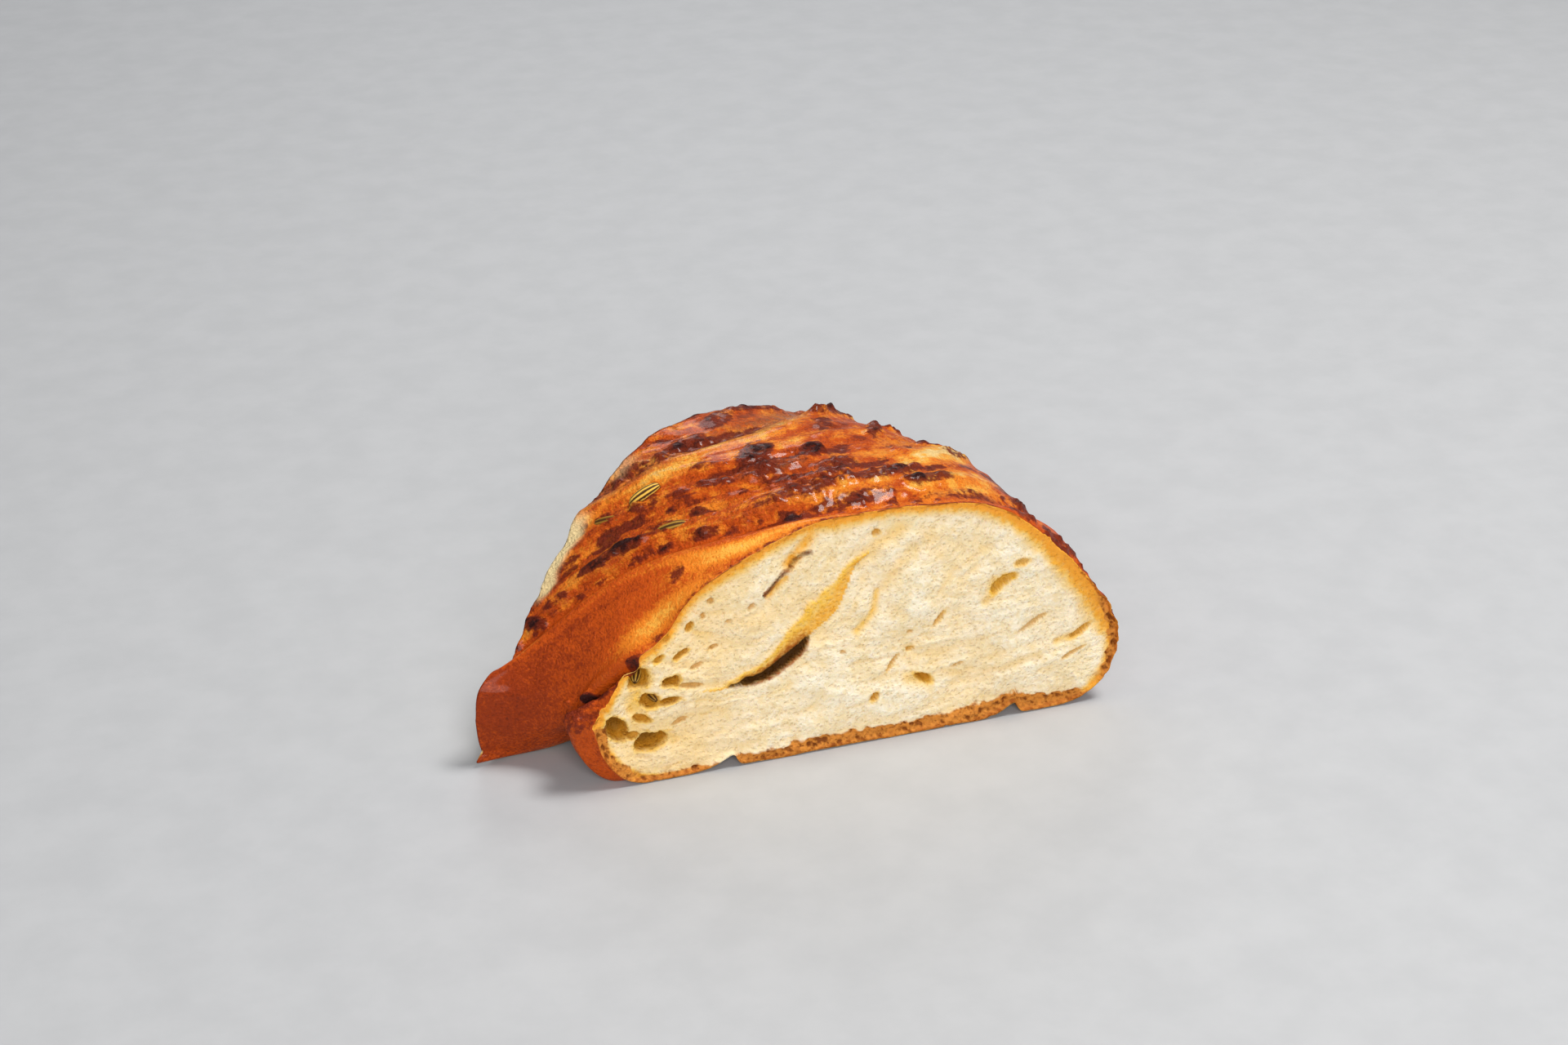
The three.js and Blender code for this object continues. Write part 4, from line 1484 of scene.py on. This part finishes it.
@dataclass(frozen=True)
class CrumbFinish:
    """Soft open crumb, yellow where the butter soaked in and browned towards the crust, with painted shade in
    its pores and holes and a painted shadow in deep holes and the fold's gap.
    """

    shared: Shared
    cream: Colour = (0.84, 0.685, 0.42)
    pale: Colour = (0.91, 0.82, 0.64)
    butter: Colour = (0.86, 0.50, 0.065)
    # Painted shade for pores and holes, and a painted shadow for deep holes and the fold's gap.
    hollow: Colour = (0.52, 0.23, 0.016)
    deep: Colour = (0.060, 0.020, 0.001)
    orange: Colour = (0.84, 0.34, 0.030)
    brown: Colour = (0.36, 0.090, 0.009)
    toast: Colour = (0.66, 0.250, 0.040)
    grit: Colour = (0.23, 0.062, 0.008)

    def material(self) -> bpy.types.Material:
        """The finish as a material that reads the slice's masks.

        Returns:
            The material.
        """
        material, sheet, shader = new_material("crumb")
        place, speckle = sheet.place(), self.shared.speckle
        hollow, deep, butter, toast, soak, brown = map(sheet.attribute, CRUMB_MASKS)
        spots, clouds = (sheet.group(speckle, Vector=place, Size_mm=size) for size in (1.1, 5.0))
        pits = sheet.group(self.shared.pitting, Vector=place, Size_mm=0.8, Share=0.6)
        skin = sheet.blend(sheet.between(sheet.total(spots, clouds), -0.5, 0.5), self.cream, self.pale)
        skin = sheet.blend(sheet.math("MULTIPLY", butter, sheet.total(0.92, (spots, 0.5))), skin, self.butter)
        # Painted shade in the small pits.
        skin = sheet.blend(sheet.math("MULTIPLY", pits, 0.22), skin, self.hollow)
        glow = sheet.total(soak, (spots, 0.5))
        skin = sheet.blend(sheet.between(glow, 0.15, 0.95, 0.0, 0.9), skin, self.orange)
        # Painted shade in the pores and holes.
        skin = sheet.blend(hollow, skin, self.hollow)
        crisp = sheet.total(brown, (spots, 0.6))
        skin = sheet.blend(sheet.between(crisp, 0.12, 0.85), skin, self.brown)
        # The toasted crumb turns to grit most where the painted pore shade lies.
        grain = sheet.total((spots, 0.9), (pits, 0.5), (hollow, 0.8))
        crust = sheet.blend(sheet.between(grain, -0.25, 0.80), self.toast, self.grit)
        crust = sheet.blend(sheet.between(crisp, 0.30, 1.0, 0.0, 0.8), crust, self.brown)
        skin = sheet.blend(sheet.between(toast, 0.1, 0.85), skin, crust)
        # The painted shadow in deep holes and the fold's gap darkens the colour last.
        sheet.feed(shader, {
            "Base Color": sheet.blend(deep, skin, self.deep), "Roughness": 0.58, "Specular IOR Level": 0.12,
            "Subsurface Weight": 0.22, "Subsurface Radius": (1.0, 0.7, 0.35), "Subsurface Scale": 0.0016,
        })
        relief = sheet.math("SUBTRACT", sheet.math("MULTIPLY", spots, 0.9), pits)
        sheet.bump(shader, sheet.total(relief, (clouds, 0.5)), 0.55, 0.0006)
        return material


@dataclass(frozen=True)
class HuskFinish:
    """The dry ribbed husk of a fennel seed: pale green ribs with brown furrows between them."""

    shared: Shared
    rib: Colour = (0.74, 0.44, 0.065)
    aged: Colour = (0.250, 0.125, 0.014)
    furrow: Colour = (0.060, 0.022, 0.004)

    def material(self) -> bpy.types.Material:
        """The finish as a material that reads the seed's rib mask.

        Returns:
            The material.
        """
        material, sheet, shader = new_material("husk")
        spots = sheet.group(self.shared.speckle, Vector=sheet.place(), Size_mm=0.5, Amount=0.4)
        rib = sheet.between(sheet.total(sheet.attribute("rib"), spots), 0.35, 0.9)
        ribs = sheet.blend(sheet.attribute("dark"), self.rib, self.aged)
        sheet.feed(shader, {"Base Color": sheet.blend(rib, self.furrow, ribs), "Roughness": 0.5,
                            "Specular IOR Level": 0.2})
        sheet.bump(shader, spots, 0.4, 0.0003)
        return material


@dataclass(frozen=True)
class FloorFinish:
    """A pale matt table top."""

    shared: Shared
    colour: Colour = (0.43, 0.435, 0.445)
    mottle: Colour = (0.40, 0.405, 0.415)

    def material(self) -> bpy.types.Material:
        """The finish as a material with a faint mottle.

        Returns:
            The material.
        """
        material, sheet, shader = new_material("table_top")
        spots = sheet.group(self.shared.speckle, Vector=sheet.place(), Size_mm=12.0)
        skin = sheet.blend(sheet.between(spots, -0.5, 0.5), self.colour, self.mottle)
        sheet.feed(shader, {"Base Color": skin, "Roughness": 0.7})
        return material


# ---- Sub-assemblies ----------------------------------------------------------------------------


class Side(Enum):
    """Which knife cut a cap belongs to."""

    FIRST = 0
    SECOND = 1


@dataclass
class KringleSlice:
    """The bread: crust, base and both cuts as one closed sheet.

    Above the crown the sheet's height is squeezed, and a torn flap sticks out at the second cut's foot.
    """

    form: LoafForm
    crust: CrustRelief
    base: BaseRelief
    rows: int = 82
    first_rings: int = 62
    second_rings: int = 34
    flap: float = 2.6
    flap_height: float = 1.3
    crown: float = 52.2
    crown_squeeze: float = 0.60
    tear_size: float = 5.0
    tear_seed: int = 55

    def sweep(self) -> tuple[Array, dict[str, Array]]:
        """The crust and base from cut to cut, with relief.

        Returns:
            The outline of every row as (distance from the axis, height), and the masks.
        """
        shares = np.linspace(0.0, 1.0, self.rows + 1)
        plain = self.form.outline(shares)
        across = np.broadcast_to(self.form.across(), plain.shape[:2])
        around = np.broadcast_to(shares[:, None], plain.shape[:2])
        under = np.broadcast_to(~self.form.on_crust(), plain.shape[:2])
        tangent = np.roll(plain, -1, axis=1) - np.roll(plain, 1, axis=1)
        normal = np.stack([-tangent[..., 1], tangent[..., 0]], axis=-1)
        normal /= np.linalg.norm(normal, axis=-1, keepdims=True) + 1e-9
        points = self.place(plain, around * WEDGE)
        tip = np.minimum(across, 1.0 - across)
        signed = np.where(under & (across < 0.5), -across, across)
        skin = self.crust.skin(signed, around, plain[..., 0], points)
        fade = np.where(under, smooth(0.16, 0.07, tip), 1.0)
        flat = np.where(under, smooth(0.10, 0.15, tip), 0.0)
        rise = self.base.height(plain[..., 0], around, points) * flat
        rise += self.base.tongue_arch(plain[..., 0], around) * np.where(under, smooth(0.0, 0.08, tip), 0.0)
        outline = plain + normal * (skin.height * fade)[..., None]
        outline[..., 1] = np.maximum(outline[..., 1] + rise, 0.0)
        outline[..., 1] -= self.crown_squeeze * np.maximum(outline[..., 1] - self.crown, 0.0)
        outline[..., 0] -= self.torn_flap(plain[..., 1], around) * (under & (across < 0.2))
        masks = {
            "bake": skin.bake, "char": skin.char * (1 - flat), "cheese": skin.cheese * (1 - flat),
            "above": skin.above, "base": flat, "flow": skin.flow,
            "bare": self.bare_strip(across, around, points) * ~under,
        }
        return outline, masks

    def torn_flap(self, height: Array, around: Array) -> Array:
        """How far the torn corner at the foot of the second cut sticks out: a bell over the height."""
        return self.flap * np.exp(-(((height - self.flap_height) / 1.0) ** 2)) * smooth(0.80, 0.99, around)

    def bare_strip(self, across: Array, around: Array, points: Array) -> Array:
        """Where the crust has come off along the second cut.

        Args:
            across: shares of the way over the crust.
            around: shares of the way from the first cut to the second.
            points: the plain form's points.

        Returns:
            The mask.
        """
        torn = layered_noise(points, self.tear_size, self.tear_seed, 3)
        edge = smooth(0.90, 0.955, around + 0.03 * torn)
        lower = smooth(0.17, 0.20, across) * smooth(0.315, 0.285, across)
        upper = 0.35 * smooth(0.36, 0.38, across) * smooth(0.42, 0.40, across)
        return edge * np.maximum(lower, upper)

    def cap(self, outline: Array, side: Side) -> tuple[Array, dict[str, Array]]:
        """One cut, from its middle line out to its edge.

        Args:
            outline: the outline's loop at this cut.
            side: which cut it is.

        Returns:
            The points and the masks, ring by ring from the middle line; the last ring is the edge.
        """
        rings, relief, around = {
            Side.FIRST: (self.first_rings, FIRST_CUT, 0.0),
            Side.SECOND: (self.second_rings, SECOND_CUT, 1.0),
        }[side]
        spine = self.form.spine(around)
        out = np.linspace(0.0, 1.0, rings + 1)[:, None]
        place = spine + (outline - spine) * out[..., None]
        rim = np.linalg.norm(outline - spine, axis=-1) * (1.0 - out)
        across = np.broadcast_to(self.form.across(), rim.shape)
        face = Face(place, rim, across, np.broadcast_to(self.form.on_crust(), rim.shape), relief.seed)
        relief.shape(face)
        angle = around * WEDGE
        points = self.place(place, np.full(rim.shape, angle))
        turned = np.array([np.sin(angle), -np.cos(angle), 0])
        inwards = np.array([0.0, 1.0, 0.0]) if side is Side.FIRST else turned
        return points + inwards * face.depth[..., None], face.masks

    def place(self, flat: Array, angle: Array) -> Array:
        """Points of sections turned about the ring's axis: (r cos, r sin, height)."""
        return np.stack([flat[..., 0] * np.cos(angle), flat[..., 0] * np.sin(angle), flat[..., 1]], axis=-1)

    def build(self) -> bpy.types.Object:
        """The whole sheet: the first cut's rings, the sweep's rows and the second cut's rings.

        Returns:
            The bread's object.
        """
        outline, skin_masks = self.sweep()
        around = np.linspace(0.0, 1.0, self.rows + 1)[:, None]
        middle = self.place(outline, around * WEDGE + np.zeros(outline.shape[:2]))
        first, first_masks = self.cap(outline[0], Side.FIRST)
        second, second_masks = self.cap(outline[-1], Side.SECOND)
        points = np.concatenate([first[:-1], middle, second[-2::-1]])
        rows, columns = points.shape[:2]
        masks = {}
        for key, values in first_masks.items():
            inner = np.zeros((len(middle) - 2, columns))
            masks[key] = np.concatenate([values, inner, second_masks[key][::-1]])
        for key, values in skin_masks.items():
            before = np.repeat(values[:1], len(first) - 1, axis=0)
            after = np.repeat(values[-1:], len(second) - 1, axis=0)
            masks[key] = np.concatenate([before, values, after])
        quads, used = self.welded(rows, columns)
        flat_masks = {key: values.reshape(rows * columns, *values.shape[2:])[used]
                      for key, values in masks.items()}
        piece = make_mesh("kringle_bread", to_frame(points.reshape(-1, 3)[used]), quads[:, ::-1], flat_masks)
        row = np.arange(rows - 1).repeat(columns)
        crumb = (row < len(first) - 1) | (row >= rows - len(second))
        piece.data.polygons.foreach_set("material_index", crumb.astype(np.int32))
        return piece

    def welded(self, rows: int, columns: int) -> tuple[Array, Array]:
        """The sheet's faces with both middle lines closed.

        In the first and last row a column and the one opposite it are the same point.

        Args:
            rows: how many rows the sheet has.
            columns: how many columns each row has.

        Returns:
            The faces as rows of four numbers, and the grid's points that they use, in order.
        """
        number = np.arange(rows * columns)
        column = number % columns
        at_spine = (number < columns) | (number >= (rows - 1) * columns)
        folded = number - column + np.minimum(column, columns - column)
        quads = np.where(at_spine, folded, number)[grid_quads(rows, columns)]
        used, numbered = np.unique(quads, return_inverse=True)
        return numbered.reshape(quads.shape), used

    def dress(self, piece: bpy.types.Object, crust: CrustFinish, crumb: CrumbFinish) -> None:
        """Gives the bread its two finishes and its place in the part.

        Args:
            piece: the bread's object.
            crust: the finish of its crust and base.
            crumb: the finish of its cuts.
        """
        piece.data.materials.append(crust.material())
        piece.data.materials.append(crumb.material())
        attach(piece, "root")
        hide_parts("kringle_slice")


@dataclass
class FennelSeed:
    """One seed, ribbed along its length, lying where its CAD node lies."""

    number: int
    dark: float = 0.0
    length: float = 6.8
    width: float = 2.5
    ribs: int = 7
    bend: float = 0.35
    rings: int = 40
    sides: int = 54

    @property
    def node(self) -> str:
        """The CAD node's name."""
        return f"fennel_seed_{self.number}"

    def axes(self) -> tuple[Array, Array]:
        """The node's middle and its three axes, the longest first, found from its vertices.

        Returns:
            The middle, and the axes one to a row.
        """
        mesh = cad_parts[self.node].data
        points = np.empty(len(mesh.vertices) * 3)
        mesh.vertices.foreach_get("co", points)
        points = np.unique(points.reshape(-1, 3).round(7), axis=0)
        middle = 0.5 * (points.min(axis=0) + points.max(axis=0))
        along = np.linalg.svd(points - points.mean(axis=0), full_matrices=False)[2][0]
        along = along * (1.0 if along[0] + 0.5 * along[1] > 0 else -1.0)
        side = np.cross([0.0, 0.0, 1.0], along)
        side /= np.linalg.norm(side)
        return middle, np.stack([along, side, np.cross(along, side)])

    def build(self) -> bpy.types.Object:
        """A spindle: radius sin(v) to the power 0.75, swollen at each rib, on a gently bowed axis.

        Returns:
            The seed's object.
        """
        v = np.linspace(0.0, math.pi, self.rings + 1)[:, None]
        u = np.arange(self.sides)[None, :] * (2.0 * math.pi / self.sides)
        rib = np.abs(np.cos(u * self.ribs / 2.0)) ** 1.5 * np.ones_like(v)
        body = np.sin(v) ** 0.75
        radius = 0.5 * self.width * body * (0.84 + 0.16 * rib)
        along = -0.5 * self.length * np.cos(v) * np.ones_like(u)
        bow = self.bend * (np.sin(v) - 0.6)
        local = np.stack([along, radius * np.cos(u), 0.85 * radius * np.sin(u) + bow], axis=-1)
        middle, axes = self.axes()
        points = (local.reshape(-1, 3) * MM) @ axes + middle
        quads = grid_quads(self.rings + 1, self.sides)
        mask = (rib * smooth(0.0, 0.5, body)).reshape(-1)
        return self.closed(points, quads, mask)

    def closed(self, points: Array, quads: Array, mask: Array) -> bpy.types.Object:
        """Closes the two poles by giving each ring of equal points one number.

        Args:
            points: the grid's points in metres.
            quads: the grid's faces.
            mask: the rib mask at each point.

        Returns:
            The seed's object.
        """
        number = np.arange(len(points))
        number[: self.sides] = 0
        number[-self.sides:] = len(points) - self.sides
        faces = number[quads]
        used = np.unique(faces)
        renumber = np.zeros(len(points), dtype=np.int64)
        renumber[used] = np.arange(len(used))
        masks = {"rib": mask[used], "dark": np.full(len(used), self.dark)}
        piece = make_mesh(f"seed_{self.number}", points[used], renumber[faces], masks)
        piece.data.validate()
        return piece

    def dress(self, piece: bpy.types.Object, husk: bpy.types.Material) -> None:
        """Gives the seed its husk and its place in the part.

        Args:
            piece: the seed's object.
            husk: its material.
        """
        piece.data.materials.append(husk)
        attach(piece, "root")
        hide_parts(self.node)


@dataclass(frozen=True)
class Lamp:
    """A soft rectangular light that looks at a point."""

    name: str
    place: tuple[float, float, float]
    aim: tuple[float, float, float]
    size: float
    power: float
    colour: Colour = (1.0, 1.0, 1.0)

    def build(self) -> None:
        """Adds the light to the scene."""
        light = bpy.data.lights.new(self.name, "AREA")
        light.shape = "DISK"
        light.size = self.size
        light.energy = self.power
        light.color = self.colour
        lamp = bpy.data.objects.new(self.name, light)
        back = np.array(self.place) - np.array(self.aim)
        lamp.matrix_world = look_matrix(np.array(self.place), -back, 0.0)
        bpy.context.scene.collection.objects.link(lamp)


def look_matrix(place: Array, ahead: Array, roll: float) -> Matrix:
    """The matrix of a camera or light at a place, looking ahead, rolled about its view.

    Args:
        place: where it stands, in metres.
        ahead: the way it looks.
        roll: the angle of its roll, in radians.

    Returns:
        The matrix.
    """
    ahead = ahead / np.linalg.norm(ahead)
    level = np.cross(ahead, [0.0, 0.0, 1.0])
    level /= np.linalg.norm(level)
    up = np.cross(level, ahead)
    right = level * math.cos(roll) + up * math.sin(roll)
    up = np.cross(right, ahead)
    turned = np.stack([right, up, -ahead, place], axis=1)
    return Matrix([*turned.tolist(), [0, 0, 0, 1]])


@dataclass(frozen=True)
class Studio:
    """The camera, the lights and the floor."""

    camera_place: tuple[float, float, float] = (-41.4, -402.1, 273.5)
    heading: float = 17.35
    pitch: float = 27.86
    roll: float = -0.94
    lens: float = 60.0
    sensor: float = 36.0
    nearest: float = 0.01
    sky: Colour = (0.93, 0.96, 1.0)
    sky_strength: float = 0.28
    floor_half: float = 4.0
    lamps: tuple[Lamp, ...] = (
        Lamp("key", (0.40, -0.10, 1.0), (0.0, 0.0, 0.02), 0.38, 10.5, (1.0, 0.985, 0.96)),
        Lamp("front", (-0.20, -1.0, 0.55), (0.0, 0.0, 0.02), 0.7, 9.0, (1.0, 0.985, 0.965)),
        Lamp("back", (0.15, 0.85, 0.6), (0.0, 0.0, 0.02), 0.4, 1.8, (0.97, 0.98, 1.0)),
    )

    def build_camera(self) -> None:
        """A 60 mm lens looking down on the first cut."""
        camera = bpy.data.cameras.new("camera")
        camera.lens = self.lens
        camera.sensor_width = self.sensor
        camera.clip_start = self.nearest
        heading, pitch = math.radians(self.heading), math.radians(self.pitch)
        ahead = np.array([math.sin(heading) * math.cos(pitch), math.cos(heading) * math.cos(pitch),
                          -math.sin(pitch)])
        stand = bpy.data.objects.new("camera", camera)
        place = to_frame(np.array(self.camera_place))
        stand.matrix_world = look_matrix(place, ahead, math.radians(self.roll))
        bpy.context.scene.collection.objects.link(stand)
        bpy.context.scene.camera = stand

    def build_light(self) -> None:
        """The soft lamps and an even grey sky."""
        for lamp in self.lamps:
            lamp.build()
        world = bpy.data.worlds.new("sky")
        world.use_nodes = True
        for number, value in enumerate(((*self.sky, 1.0), self.sky_strength)):
            world.node_tree.nodes["Background"].inputs[number].default_value = value
        bpy.context.scene.world = world
        bpy.context.scene.view_settings.view_transform = "Standard"

    def build_floor(self, finish: FloorFinish) -> None:
        """A wide level floor under the slice.

        Args:
            finish: the floor's finish.
        """
        corners = np.array([(-1, -1, 0), (1, -1, 0), (1, 1, 0), (-1, 1, 0)]) * self.floor_half
        floor = make_mesh("floor", corners, np.array([[0, 1, 2, 3]]), {})
        floor.data.materials.append(finish.material())


def main() -> None:
    logging.basicConfig(level=logging.INFO, format="%(name)s: %(message)s")
    shared = Shared()
    studio = Studio()
    studio.build_camera()
    studio.build_light()
    studio.build_floor(FloorFinish(shared))
    slice_ = KringleSlice(LoafForm(), CrustRelief(), BaseRelief())
    bread = slice_.build()
    slice_.dress(bread, CrustFinish(shared), CrumbFinish(shared))
    LOG.info("%s: %d faces", bread.name, len(bread.data.polygons))
    husk = HuskFinish(shared).material()
    for number, dark in enumerate((0.0, 0.8, 1.0, 0.6, 0.55, 0.8), start=1):
        seed = FennelSeed(number, dark)
        piece = seed.build()
        seed.dress(piece, husk)
        LOG.info("%s: %d faces", piece.name, len(piece.data.polygons))


if __name__ == "__main__":
    main()
